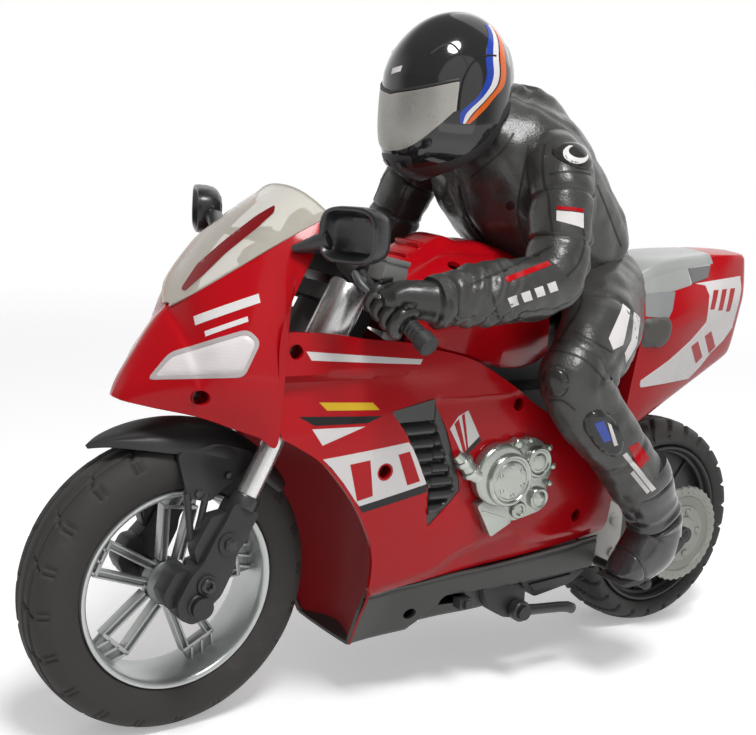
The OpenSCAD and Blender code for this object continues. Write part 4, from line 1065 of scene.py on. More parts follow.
def cowl(sizes):
    """Nose cowl, lamp lenses and side bars."""
    half = [[cowl_at(9 * j / 84, k / 30) for k in range(31)] for j in range(85)]
    left = Skin(grid(half))
    both = weld(join(grid(half), grid([[(x, -y, z) for x, y, z in row] for row in half])))
    shell = thick(both, lambda p: Vector((-0.6, -1.3 * math.copysign(min(1, abs(p[1]) / 8), p[1]), -0.5)))
    x, z = 115.5, 129.6
    cuts = [disc(x, z, sizes.hole, 18, 48), disc(x, z, sizes.hole, -48, -18)]
    piece("nose_cowl", shell, "red", nodes=("front_cowl",), sharp=50, cuts=cuts)
    y = left.drop((x, 80, z), (0, -1, 0))[0][1]
    # The hole's wall is drawn in a darker red: painted shade in the hole
    pair("nose_hole_0", cup(x, y - 0.9, z, sizes.hole), "deep_red")
    pair("nose_screw_0", screw(x, y - 5, z, 1.8), "dark_metal")
    lens = soft([(-90.6, 120.2), (-59.9, 123.8), (-56.2, 134.6), (-59.8, 137), (-85.4, 127.1)], 2.0, 4)
    rim = soft([(-93.4, 118.6), (-59.2, 122.4), (-54.6, 134.9), (-59.4, 138.9), (-86.4, 128.6)], 2.6, 4)
    pair("lamp_rim", patch(left, rim, 1.0, 0.12, holes=(lens,), base=LAMP_VIEW), "lamp_rim", bevel=0.06)
    pair("lamp_lens", patch(left, lens, 1.0, 0.05, 0.6, 2.0, base=LAMP_VIEW), "lens", node="headlight")
    bars = [[(-79.4, 141.5), (-57.3, 151.1), (-56.3, 148.1), (-78.3, 138.5)],
            [(-74.6, 136.8), (-60.1, 143.1), (-59.6, 141.4), (-74, 135.1)]]
    for k, bar in enumerate(bars):
        pair("nose_bar_%d" % k, patch(left, bar, 1.2, sizes.decal, base=LAMP_VIEW), "white")


def windshield():
    """Thin tinted screen, bowed over the cockpit."""
    rows = [(117.6, 2.4, 158, 117.4, 158.8), (112.8, 12, 164.2, 109.5, 168.6), (101, 20.5, 174, 98.5, 180.5),
            (89.7, 25, 182, 86.5, 191.5), (69.4, 27, 192.6, 73, 200.6)]
    net = []
    for x, y, z, rx, rz in trail(rows, 48):
        line = []
        for k in range(41):
            w = -1 + k / 20
            b = 1 - abs(w) ** 2.3
            line.append((x + (rx - x) * b, y * w, z + (rz - z) * b))
        net.append(line)
    piece("screen", thick(grid(net), (-0.5, 0, -0.6)), "screen", nodes=("windshield",), sharp=50)
    # Darker red band near the screen's edge: painted shade
    band = [(-86.4, 150.6), (-82.2, 159.9), (-73.1, 169.2), (-63.1, 178.5), (-57, 183), (-56.6, 180),
            (-61.7, 173.7), (-71.2, 164.5), (-78.8, 155.4), (-84.4, 149.8)]
    piece("screen_band", patch(Skin(grid(net)), soft(band, 1.0, 2), 1.2, 0.08, depth=0.3, base=LAMP_VIEW),
          "deep_red")
    rim = [row[0] for row in net]
    pair("screen_edge", tube([(p[0], abs(p[1]), p[2] - 0.2) for p in rim], 0.45, 8), "screen_edge")
    piece("screen_lip", tube([(p[0], p[1], p[2] - 0.3) for p in net[-1]], 0.42, 8), "screen_edge")


def fair_y(x, z):
    """Half width of the side fairing's outer face."""
    above = max(z, 47.0)
    y = 42 - 6 * ((above - 110) / 60) ** 2 - 3.5 * (max(0, x - 20) / 70) ** 2
    y -= 4 * (max(0, -20 - x) / 55) ** 2
    y -= (above - z) * 0.6
    top = 136.4 + 1.8 * smooth(40, 86, x)
    low = 135.2 - 0.6 * smooth(50, 86, x) - 4 * smooth(44, 28, x)
    fade = 0.3 + 0.7 * hump(z, low, 15) if z < low else 1
    y -= (2.0 + 2.1 * smooth(46, 88, x)) * smooth(14, 30, x) * smooth(top, low, z) * fade
    y -= 1.7 * smooth(126.6, 124.6, z) * smooth(27, 25, x) * smooth(72, 96, z) * smooth(-66, -44, x)
    lip = look(LIP, x)[0]
    y -= 1.3 * smooth(lip + 1.6, lip - 1.6, z) * smooth(50, 44, x)
    return y


def fairings(sizes):
    """Side fairings with front duct, vents and screw holes."""
    front = [p for p in trail(FRONT_EDGE, 44) if p[1] > 49.8]
    low = [(x, look(LOW_EDGE, x)[0]) for x in range(-75, 46, 4)]
    top = trail(TOP_EDGE, 40)
    nose = [(92.6, 124), (93.8, 136), (93.4, 147), (90.6, 151.6)]
    outline = [tuple(p) for p in low + front + nose + top]
    vent = soft(VENT, 1.0, 3)
    spots = [(85.6, 146.2), (47.5, 100.5), (-14.5, 121), (-53, 70.5)]
    rounds = [circle(x, z, sizes.hole) for x, z in spots]
    flat, tris = fill(outline, 1.9, [vent] + rounds)
    sheet = ([(x, fair_y(x, z), z) for x, z in flat], tris)
    skin = Skin(sheet)
    duct = []
    for k in range(41):
        x, z = along(FRONT_EDGE, 8.6 * k / 40)
        back = look([(24, 37.5), (34, 36.5), (46.6, 35), (60, 34.4), (80, 36), (92, 41), (103, 54)], z)[0]
        y = fair_y(x, z)
        row = []
        for j in range(25):
            w = 1 - j / 24
            row.append((back + (x - back) * w ** 1.7, y * w, z))
        duct.append(row)
    wall = sizes.wall
    pair("side_shell", thick(sheet, (0, -wall, 0)), "red", node="side_fairing", sharp=42)
    # The front duct is drawn in a darker red: painted shade
    pair("front_duct", thick(grid(duct), (-wall * 0.8, 0, 0)), "duct_red", sharp=42)
    cups = join(*[cup(x, fair_y(x, z) - 0.3, z, sizes.hole, 4.5) for x, z in spots])
    # The holes' walls are drawn in a darker red: painted shade in the holes
    pair("side_hole", cups, "deep_red")
    piece("side_screws", twin(join(*[screw(x, fair_y(x, z) - 4.8, z, 1.8) for x, z in spots])), "dark_metal",
          nodes=("body_screws",))
    louvre(vent)
    fairing_marks(skin, sizes.decal)


def fairing_marks(skin, height):
    """Vinyl panels, flashes and stripes on the side fairings."""
    def lay(name, shape, key, lift=1.0, holes=()):
        pair(name, patch(skin, shape, 1.6, height * lift, holes=holes), key)

    ring = circle(47.5, 100.5, 3.4)
    lay("panel_shade", [(72.6, 106.2), (35.8, 110.2), (25.8, 93.2), (26.2, 91), (55.6, 85.6), (58.6, 90),
                        (66, 99.6)], "ink", 0.6, holes=(ring,))
    lay("panel_white", [(73.6, 107.3), (36.5, 111.1), (26.8, 94.2), (57.2, 88.3), (59.6, 91.2), (64.6, 97.8),
                        (70, 104)], "white", 1.2, holes=(ring,))
    lay("panel_bar_front", [(62.6, 104.6), (54.4, 105.6), (52, 91.8), (58.4, 90.4)], "red", 2.0,
        holes=(ring,))
    lay("panel_bar_rear", [(42.4, 106.6), (37.4, 107.4), (31.6, 95.4), (37.2, 94.4)], "red", 2.0)
    lay("flash_gold", [(75, 127.6), (54, 126.6), (51, 123.8), (72, 124.6)], "yellow", 1.0)
    lay("flash_dark", [(83, 123), (50, 121.6), (56, 119.4), (77, 119.6)], "ink", 1.0)
    lay("flash_white", [(78, 118.4), (57, 118.2), (74, 112.4)], "white", 1.0)
    lay("top_stripe", [(82, 146.4), (34, 141.6), (35, 139.8), (80, 143.2)], "white", 1.0)
    lay("rear_patch", [(18.6, 114), (15.2, 118.6), (10.6, 120.6), (3.4, 108.6), (11.4, 102.6)], "white", 1.0)
    lay("rear_patch_bar", [(16.8, 115.8), (15, 117.6), (10.2, 104.6), (11.2, 103.8)], "red", 1.8)
    lay("rear_patch_line", [(13.6, 118.8), (12.4, 119.6), (9.2, 105.4), (9.9, 104.8)], "red", 1.8)
    lay("rear_patch_foot", [(4.2, 110), (3.2, 108.2), (10.8, 102.4), (11.2, 104.2)], "ink", 1.8)


def louvre(outline):
    """Dark side vent with rolled slats and a broad rear border."""
    flat, tris = fill(outline, 0.75)
    pitch, roll = 5.3, 0.62
    pts = []
    for x, z in flat:
        y = fair_y(x, 110) - 0.7
        rear = 11.3 + (z - 89) * 0.42 if z > 89 else 11.3 + (89 - z) * 1.05
        span = smooth(rear + 1.6, rear + 3.2, x) * smooth(118.4, 117.6, z) * smooth(80.4, 81.4, z)
        t = ((z - 81) % pitch) / pitch
        if t < roll:
            slat = 1.3 * math.sin(math.pi * t / roll) ** 0.7
        else:
            slat = -2.6 * math.sin(math.pi * (t - roll) / (1 - roll)) ** 0.5
        pts.append((x, y + span * (slat - 0.3), z))
    pair("vent_slats", thick((pts, tris), (0, -2.2, 0)), "vent", node="vent", sharp=50)


def engine():
    """Bright engine cover: drum, round cover, small caps, bolts and a lower plate."""
    base = [(5.7, 97), (3.9, 103), (-4.3, 106), (-11.6, 107.6), (-21.8, 108.2), (-29, 103.4), (-32, 94),
            (-29.5, 88.4), (-31, 82), (-28.4, 77.4), (-18, 75.4), (-12.9, 74.6), (-8, 80), (0.5, 86.1),
            (3.8, 89.3)]
    parts = [slab(soft(base, 2.4, 4), 40.4, 43.6)]
    drum = [(40.6, 0), (40.6, 12.6), (44.2, 12.6), (45.2, 11.8), (45.4, 10.8), (45.4, 0)]
    parts.append(turned(drum, (-5.4, 0, 94.6), 72))
    lid = [(44.8, 0), (44.8, 10.6), (46.6, 10.6), (47.4, 9.9), (47.4, 9.0), (46.7, 8.6), (46.7, 7.7),
           (47.3, 7.2), (47.5, 4.2), (47.5, 0)]
    parts.append(turned(lid, (-8.2, 0, 92.8), 72))
    cap = [(43, 0), (43, 6.4), (45.2, 6.4), (46, 5.8), (46, 5.0), (45.2, 4.6), (45.2, 3.4), (45.7, 3.0),
           (45.7, 0)]
    parts.append(turned(cap, (-23.2, 0, 98.2), 48))
    knob = [(42, 0), (42, 4.6), (44.8, 4.6), (45.6, 3.9), (45.2, 3.0), (46.4, 1.6), (46.8, 0)]
    parts.append(turned(knob, (-25.4, 0, 83), 36))
    hexed = [(42, 0), (42, 3.6), (45, 3.6), (45.6, 3.0), (45.6, 2.0), (44.6, 1.7), (44.6, 0)]
    parts.append(turned(hexed, (-15.2, 0, 79.4), 30))
    for k in range(6):
        a = 0.4 + k * math.pi / 3
        parts.append(turned([(46.8, 0), (48.1, 0), (48, 0.6), (47.6, 0.95), (46.8, 1)],
                            (-8.2 + 6.0 * math.cos(a), 0, 92.8 + 6.0 * math.sin(a)), 14))
    for x, z, r in ((-12.6, 106.4, 2.1), (-18.4, 107.4, 1.3), (-28.6, 103.4, 1.5), (-31.4, 95.6, 1.4),
                    (-30.4, 88.6, 1.3), (-19, 88.2, 1.5), (4.2, 98, 1.2), (-0.6, 104.8, 1.2)):
        parts.append(turned([(41, 0), (45.4, 0), (45.2, r * 0.7), (44.6, r), (41, r)], (x, 0, z), 18))
    for k in range(4):
        a = 2.5 + k * 0.22
        c, s = math.cos(a), math.sin(a)
        parts.append(brick((-5.4 + 10.6 * c - 0.45, 44.6, 94.6 + 10.6 * s - 0.45),
                           (-5.4 + 12.2 * c + 0.45, 45.9, 94.6 + 12.2 * s + 0.45)))
    low = soft([(5.6, 83.4), (-0.6, 86.2), (-9.9, 79.9), (-12.6, 74.8), (-2.4, 69.8), (0.6, 75.1)], 1.2, 3)
    parts.append(slab(low, 40, 44.4))
    parts.append(slab([(3.2, 81.6), (-8.6, 77.2), (-8.8, 76.4), (3.2, 80.7)], 44, 44.9))
    pair("engine_case", join(*parts), "bright", node="engine_cover", bevel=0.3)
    stub = join(tube([(14.6, 40.5, 103.6), (11.6, 42.2, 100.6), (9.2, 43.0, 97), (6.0, 43.2, 95)],
                     [2.2, 3.0, 3.2, 3.0], 18),
                tube([(12.6, 41.9, 101.8), (11.6, 42.3, 100.4)], 3.7, 18),
                tube([(9.8, 42.9, 97.8), (8.8, 43.1, 96.4)], 3.8, 18))
    pair("engine_stub", stub, "bright")


def belly():
    """Belly pan with its stepped side, screw holes and cut-outs, stand bracket and stand."""
    ends = [(z, x) for x, z in FRONT_EDGE]
    rows = []
    for k in range(121):
        x = -69 + 115 * k / 120
        yt, zt, yb, zb = look(PAN, x)
        half = []
        for j in range(31):
            v = j / 30
            z = zt + (zb + 1.4 - zt) * v
            y = yt + (yb + 1.2 - yt) * v + 0.7 * math.sin(math.pi * v)
            edge = 9.5 + (44 - z) * 0.85
            y -= 5.2 * smooth(44.4, 43.6, z) * smooth(edge + 0.4, edge - 0.8, x)
            y -= 0.6 * hump(z, zt - 1.6, 0.5)
            half.append((x + (look(ends, z)[0] - 46.3) * smooth(38, 46, x), y, z))
        last = half[-1]
        half += [(last[0], last[1] - 1.4, zb), (last[0], last[1] * 0.5, zb - 0.3), (last[0], 0, zb - 0.4)]
        rows.append(half + [(a, -b, c) for a, b, c in reversed(half[:-1])])

    def wall(p):
        side = -math.copysign(1.4, p[1]) if abs(p[1]) > 18 else 0
        return (0, side, 1.2 if p[2] < 42 and abs(p[1]) < 36 else 0)

    shell = thick(grid(rows), wall)
    cuts = [disc(23.4, 37.5, 2.5, 14, 60), disc(23.4, 37.5, 2.5, -60, -14)]
    pin, faces = disc(-5, 0, 5.3, 20, 44, 24)
    bore = ([(x, z, y) for x, y, z in pin], faces)
    cuts += [bore, brick((-4.2, 20, 37.4), (7.4, 60, 42.6))]
    piece("belly_shell", shell, "pan", nodes=("belly_pan",), sharp=34, cuts=cuts)
    # The hole's wall is drawn in black: painted shade in the hole
    pair("belly_hole", cup(23.4, 28.4, 37.5, 2.5, 4.5), "ink")
    bracket = [slab(soft([(-9, 44), (-24, 44.4), (-32, 40), (-32.4, 33), (-27, 28.6), (-21, 30), (-14, 34)],
                         1.2, 3), 29.5, 34.6),
               slab(soft([(-30, 43), (-60, 44.6), (-66, 43.4), (-58, 38.4), (-38, 35.6)], 1.5, 3), 27, 33.6),
               slab(soft([(-34, 41.8), (-58, 43), (-56, 40.6), (-38, 38)], 1.0, 3), 33, 34.6)]
    piece("stand_bracket", join(*bracket), "trim", bevel=0.5)
    px, py, pz = -27, 37.6, 33
    leg = [turned(mirrored([(-2.4, 1.6), (-2.4, 3.8), (-1.8, 4.4)]), (px, py, pz), 36, True),
           tube([(px - 2, py, pz - 0.2), (px - 9, py, pz - 1), (px - 22, py, pz - 2.2),
                 (px - 27, py, pz - 3), (px - 29.6, py, pz - 4.2), (px - 30.2, py, pz - 4.6)],
                [2.4, 2.2, 2.2, 2.3, 2.3, 1.2], 20)]
    piece("stand_leg", join(*leg), "satin", "stand", ("side_stand",), bevel=0.15)


def rear_sets():
    """Footrest plates with pegs and a ridged tread under the boots."""
    plate = soft([(-54, 88), (-66, 88), (-76, 71.4), (-81, 71.3), (-89.3, 66.2), (-89.6, 56.2),
                  (-88.1, 41.2), (-85.6, 40.4), (-72, 42.6), (-60, 64)], 1.6, 3)
    parts = [slab(plate, 27.2, 29.6), disc(-60, 85, 3, 25.1, 30.2), disc(-84.6, 62, 2.6, 29, 30.6),
             disc(-84.8, 47, 2.2, 29, 30.4)]
    pair("rear_set", join(*parts), "pale_grey", node="footrest", bevel=0.3)
    pegs = [tube([(-76, 28, 44.6), (-76, 44, 44.6)], 2.0, 20)]
    for k in range(7):
        ridge = [(-76, y + 2.4 * k, 44.4) for y in (44, 45.6, 45.8, 46.4)]
        pegs.append(tube(ridge, [2.5, 2.5, 2.0, 2.0], 16))
    pair("rear_peg", join(*pegs), "trim", bevel=0.15)


def tank_and_seat(sizes):
    """Tank cover with its raised crown, and the moulded seat."""
    # Rows of x, half width, foot and crown
    table = [(-44, 21, 136, 168), (-34, 25, 134, 175), (-20, 30, 134, 178.8), (-4, 35, 137, 179),
             (11, 38, 141.6, 178.4), (18, 38.3, 143.4, 175.4), (25, 38.5, 145.2, 171.6),
             (35, 37.6, 147.6, 167), (38.4, 36, 148.4, 163)]
    rows = []
    for k in range(61):
        x = -44 + 82.4 * k / 60
        w, lo, hi = look(table, x)
        half = []
        for j in range(29):
            a = math.pi / 2 * j / 28
            y = w * math.sin(a) ** 0.82
            z = lo + (hi - lo) * math.cos(a) ** 0.62
            z += smooth(14, 8, y) * (1.6 * smooth(-30, -6, x) * smooth(38, 24, x) + 2.2 * hump(x, 4.5, 5))
            z -= 0.9 * hump(y, 15.5, 1.2) * smooth(-34, -20, x)
            half.append((x, y, z))
        rows.append([(a, -b, c) for a, b, c in reversed(half[1:])] + half)
    skin = Skin(grid(rows))
    shell = thick(grid(rows), lambda p: Vector((0, -math.copysign(min(1.2, abs(p[1]) * 0.05), p[1]), -1.3)))
    spot = skin.drop((11, 25, 260), (0, 0, -1))[0]
    path = [spot + Vector((0, 4, 12)), spot + Vector((0, -3, -9))]
    piece("tank_shell", shell, "red", nodes=("tank_cover",), sharp=44, cuts=[tube(path, sizes.hole, 20)])
    # The hole's wall is drawn in a darker red: painted shade in the hole
    pair("tank_hole", tube([spot + Vector((0, -1.2, -3.6)), spot + Vector((0, -1.6, -4.8))],
                           sizes.hole + 0.3, 20), "deep_red")
    steps = [brick((12.6, -8, 176), (16, 8, 180.2)), brick((18.4, -9, 172), (22.4, 9, 176.2))]
    piece("tank_steps", join(*steps), "red", bevel=0.6)
    mid = 141
    rows = []
    for k in range(41):
        x = -44.5 - 53.5 * k / 40
        w, hi = look([(-98, 14, 143), (-92, 20, 149), (-80, 20.5, 150), (-62, 18.5, 148), (-48, 15.5, 147),
                      (-44.5, 13.5, 144)], x)
        row = []
        for j in range(36):
            a = 2 * math.pi * j / 36
            c, s = math.cos(a), math.sin(a)
            n = (abs(c) ** 4 + abs(s) ** 4) ** -0.25
            tall = hi - mid if s > 0 else 9
            groove = 0.7 * hump((x + 46) % 9, 4.5, 0.6) * max(0, s)
            row.append((x, w * c * n, mid + tall * s * n - groove))
        rows.append(row)
    piece("seat_moulded", grid(rows, ring=True, caps=True), "seat", nodes=("seat_pad",), sharp=50)


def tail(sizes):
    """Tail cowl with a folded keel and a grey seat hump."""
    # Rows of x, half width and height of the keel, half width of the sides, and top
    table = [(-171, 8.5, 128.5, 12.5, 174.4), (-168, 10, 126.5, 14.5, 175), (-154, 12.5, 121, 18, 175.2),
             (-138, 14.5, 114.4, 21.5, 175), (-122, 16, 107.4, 24, 174), (-108, 16.5, 100.6, 23.6, 171.6),
             (-97, 15.5, 95.6, 21.5, 166.6)]
    rows = []
    for k in range(61):
        x = -171 + 74 * k / 60
        yl, zl, yw, zt = look(table, x)
        mid = 0.62 * zt + 0.38 * zl
        box = smooth(-140, -160, x)
        ring = [(0, zl - 0.6), (yl * 0.7, zl), (yl, zl + 2.4), (yw - 1.0, mid - 9), (yw, mid),
                (yw - 1.5, mid + 8 + 5.5 * box), (yw - 7 + 4.4 * box, zt - 3.2 + 1.6 * box),
                (yw - 11 + 6 * box, zt - 0.6), (0, zt)]
        half = trail(ring, 40)
        rows.append([(x, y, z) for y, z in half] + [(x, -y, z) for y, z in reversed(half[1:-1])])
    body = grid(rows, ring=True, caps=True)
    skin = Skin(body)
    piece("tail_shell", body, "red", nodes=("tail_cowl",), sharp=46)
    tail_marks(skin, sizes.decal)
    crown = []
    for row in rows:
        if -146 < row[0][0] < -98:
            crown.append([(x, y, z + 3 * sizes.decal) for x, y, z in row[29:52]])
    piece("tail_crown", thick(grid(crown), (0, 0, -0.5)), "grey_paint", sharp=50)


def tail_marks(skin, height):
    """Grey hump panels, white panels and bars on the tail; the hump's panels are lighter and darker copies of
    one grey paint, painted light on the rear panel and painted shade on the lower panel and the inset.
    """
    def lay(name, shape, key, lift=1.0, dome=0.0, rim=1.5):
        pair(name, patch(skin, shape, 1.5, height * lift, dome, rim, base=QUARTER), key)

    lay("tail_grey", [(89.7, 175.6), (98.6, 179.8), (104.3, 180.8), (112.5, 176.7), (113.8, 169.3),
                      (104.7, 165.8), (92.2, 163.9)], "grey_paint")
    # Rear hump panel in a lighter grey: painted light
    lay("tail_grey_rear", [(104.3, 180.8), (119.5, 183.4), (125.6, 183.2), (125, 180), (123.7, 174.8),
                           (114.8, 170.3), (113.8, 169.3), (112.5, 176.7)], "pale_paint", 0.5)
    # Inset in a darker grey: painted shade
    lay("tail_inset", [(112.5, 176.7), (124.9, 179.5), (123.1, 173.8), (114.8, 170.3)], "dark_paint", 3.4)
    # Lower hump panel in a darker grey: painted shade
    lay("tail_grey_low", [(92.2, 163.9), (106.2, 165.9), (105.2, 157.5), (103.5, 153.9), (92.8, 154)],
        "mid_paint", 1.4)
    lay("tail_white", [(116.4, 170.4), (142.2, 176.6), (143.6, 171), (143.2, 165.4), (142.1, 155.6),
                       (124.3, 153.8), (124.3, 161.4), (124.4, 165.8), (122, 170.1)], "white", 1.3)
    lay("tail_sweep", [(93.9, 124.3), (94.1, 126.1), (106.8, 135.6), (117.1, 145.2), (124.6, 154),
                       (142, 155.8), (141.8, 152.8), (137.4, 146.4), (131, 140.4), (126.3, 134.2),
                       (120.5, 127.9), (94.6, 123)], "white", 1.3)
    for k in range(3):
        lay("tail_bar_%d" % k, [(126.6 + 5 * k, 168.4 + 0.9 * k), (129.4 + 5 * k, 168.9 + 0.9 * k),
                                (128 + 5 * k, 160), (125.4 + 5 * k, 159.6)], "red", 2.2)
    for k in range(2):
        slash = ((118, 142.6), (121.4, 145.2), (126, 138.4), (122.8, 135))
        lay("tail_slash_%d" % k, [(u + 7 * k, v + 5 * k) for u, v in slash], "red", 2.2)
    wing = [(92.8, 153.1), (103.5, 154.8), (105.9, 151), (105.1, 144.4), (101.5, 141.1), (91.8, 140.5)]
    lay("seat_wing", soft(wing, 1.6, 3), "seat", dome=1.2, rim=1.6)


# Cockpit

GRIP_ROOT = Vector((57, 28, 173))
GRIP_END = Vector((51.6, 63.4, 153.6))


def cockpit():
    """Dash with two dials, bars with ridged grips, levers and reservoirs, and mirrors."""
    tray = soft([(52, 177.6), (84, 180), (84, 182.8), (52, 180.4)], 0.8, 3)
    parts = [slab(tray, -21, 21), brick((76, -26, 179.4), (82, 26, 181.6)),
             slab([(56, 180), (66, 181), (62, 188), (57, 187)], -13, 13)]
    for y in (-6.8, 6.8):
        parts.append(tube([(61, y, 183.6), (57.6, y, 185.8), (56.4, y, 186.6), (56.2, y, 186.7),
                           (56.8, y, 186.3)], [6.2, 6.2, 5.8, 5.0, 4.8], 28))
    for k in range(5):
        parts.append(brick((68 + k * 2.6, -17 + k * 1.3, 181.4), (69.6 + k * 2.6, -14.6 + k * 1.3, 183.4)))
        parts.append(brick((68 + k * 2.6, 14.6 - k * 1.3, 181.4), (69.6 + k * 2.6, 17 - k * 1.3, 183.4)))
    piece("dash", join(*parts), "trim", nodes=("instrument_panel",), bevel=0.35)
    a, d = GRIP_ROOT, GRIP_END - GRIP_ROOT
    bar = [tube([a - d * 0.15, a, a + d * 0.4], 2.5, 20)]
    grip = [(0.3 + 0.7 * k / 90) for k in range(91)]
    bar.append(tube([a + d * t for t in grip], [3.0 + 0.3 * (math.sin(k * 1.05) > 0) for k in range(91)], 24))
    bar.append(tube([a + d * 0.965, a + d * 0.97, a + d * 1.08, a + d * 1.1], [3.4, 3.9, 3.8, 2.8], 28))
    bar.append(tube([a + d * t for t in (0.2, 0.21, 0.31, 0.32)], [3.6, 4.6, 4.6, 3.6], 28))
    pair("bar_grip", join(*bar), "trim", node="handlebar", sharp=40)
    root, way = Vector((61, 36, 170.6)), Vector((-2, 30, -13)) * (1 / 32.76)
    lever = [root + way * t for t in (-3, 0, 3, 6, 9, 12, 13, 13.6)]
    lever = [p + Vector((0.9 * math.sin(k * 0.9), 0, 0.5 * math.cos(k))) for k, p in enumerate(lever)]
    silver = join(tube(lever, [2.0, 2.4, 2.0, 1.5, 1.4, 1.5, 2.0, 1.2], 14, 0.7),
                  tube([a + d * 0.24, root], 1.9, 14),
                  tube([a + d * 0.26, a + d * 0.26 + Vector((-1, 2, 5.6))], 1.8, 14))
    pair("bar_lever", silver, "dark_silver")
    pot = [slab(soft([(48.2, 169.2), (58.4, 171.6), (56.8, 178.6), (47, 176.4)], 0.8, 3), 36, 45.4),
           slab(soft([(46.8, 176.2), (57, 178.4), (56.6, 180.2), (46.4, 178)], 0.4, 2), 35.5, 45.9)]
    pair("bar_pot", join(*pot), "mid_grey", bevel=0.3)
    for side, end, yaw, low, tall in ((1, "left", 10, 0, 1.0), (-1, "right", 22, 2.6, 0.92)):
        mirror(side, end, math.radians(yaw), low, tall)


def mirror(side, end, turn, low, tall):
    """One mirror: a dished pod on a stalk, with its glass."""
    def ring(x, wy, wz, count):
        row = []
        for k in range(count):
            g = 2 * math.pi * k / count
            c, s = math.cos(g), math.sin(g)
            n = (abs(c) ** 3.4 + abs(s) ** 3.4) ** (-1 / 3.4)
            y, z = wy * c * n, wz * s * n * tall
            row.append((76 + x * math.cos(turn) - y * math.sin(turn),
                        54 + x * math.sin(turn) + y * math.cos(turn), 188.6 - low + z + 0.05 * y))
        return row

    pod = ((-5.4, 5, 3.0), (-5.2, 9.5, 6.2), (-4.6, 11.8, 7.8), (-3.2, 13.2, 8.9), (-0.5, 13.9, 9.5),
           (2.4, 14.1, 9.6), (3.9, 13.9, 9.4), (4.3, 13.4, 8.9), (4.2, 12.6, 8.2), (3.0, 11.9, 7.5),
           (-0.2, 11.2, 6.9), (-1.6, 9.8, 5.7), (-1.9, 4, 2.4))
    stalk = tube([(84.6, 29.6, 180.8), (82.6, 33.6, 182.2), (80.4, 38.4, 183.8),
                  (78, 43, 185.4 - low * 0.6)], [1.7, 2.6, 3.7, 4.4], 20, 0.8)
    shell = join(grid([ring(x, wy, wz, 64) for x, wy, wz in pod], ring=True, caps=True), stalk)
    piece("mirror_pod_" + end, shell, "mirror", nodes=("mirror_" + end,), side=side, sharp=44)
    glass = [ring(x, 9.6 * k, 6.3 * k, 48) for x, k in ((-5.35, 1.0), (-5.6, 0.97), (-5.7, 0.9), (-5.7, 0.3))]
    piece("mirror_glass_" + end, grid(glass, ring=True, caps=True), "chrome", side=side)


# Rider

def wrinkle(p, scale, seed=0.0):
    """Smooth noise from about -1 to 1."""
    return noise.noise(Vector((p[0] / scale + seed, p[1] / scale, p[2] / scale)))


def turn_gap(a, b=0.0):
    """Angle between two directions, from 0 to pi."""
    return abs(math.atan2(math.sin(a - b), math.cos(a - b)))


def torso_folds(t, a, p):
    """Hump, front seam and creases of the torso, at t along it and angle a round it."""
    front, back = turn_gap(a), turn_gap(a, math.pi)
    h = 6 * smooth(0.6, 0.3, back) * smooth(5.0, 6.2, t) * smooth(9.0, 8.2, t)
    h += 2.5 * smooth(2.08, 2.18, t)
    h -= 0.8 * hump(front, 0.06, 0.05) + 0.7 * hump(abs(math.sin(a)), 0.8, 0.03) * smooth(2, 3, t)
    h += 0.9 * math.sin(p[2] * 0.55 + 2 * front) * smooth(4.4, 2.6, t) * smooth(1.4, 0.4, front)
    h += 1.3 * wrinkle(p, 17) + 0.7 * wrinkle(p, 7, 3)
    return h


def arm_folds(t, a, p):
    """Elbow folds, seams and creases of a sleeve."""
    bend = hump(t, 5.2, 0.9) * smooth(1.2, 0.2, turn_gap(a))
    h = 1.08 * math.sin(t * 11 + 1.5 * math.sin(a)) * bend
    rings = hump(t, 3.6, 0.05) + hump(t, 4.75, 0.05) + hump(t, 9.15, 0.07)
    h -= 0.9 * rings + 0.7 * hump(math.cos(a + 0.6), 0, 0.06)
    h += 0.8 * math.sin(p[0] * 0.9 + p[2] * 0.4) * hump(t, 8.2, 0.7)
    return h + wrinkle(p, 15, 5) + 0.6 * wrinkle(p, 6, 8)


def leg_folds(t, a, p):
    """Knee folds, seams and creases of a leg."""
    h = 1.1 * math.sin(t * 12 + a) * hump(t, 4.2, 0.7) * smooth(1.5, 0.6, turn_gap(a))
    rings = hump(t, 3.15, 0.05) + hump(t, 4.5, 0.05) + hump(t, 7.2, 0.06)
    h -= 0.9 * rings + 0.7 * hump(math.cos(a), 0.05, 0.05)
    return h + wrinkle(p, 16, 11) + 0.6 * wrinkle(p, 6.5, 2)


def boot_folds(t, _, p):
    """Straps and creases of a boot."""
    h = 0.6 * math.sin(t * 14) * hump(t, 2.4, 0.5) + 0.5 * wrinkle(p, 12, 4)
    return h - 0.8 * (hump(t, 1.15, 0.05) + hump(t, 2.6, 0.06) + hump(t, 5.4, 0.05))


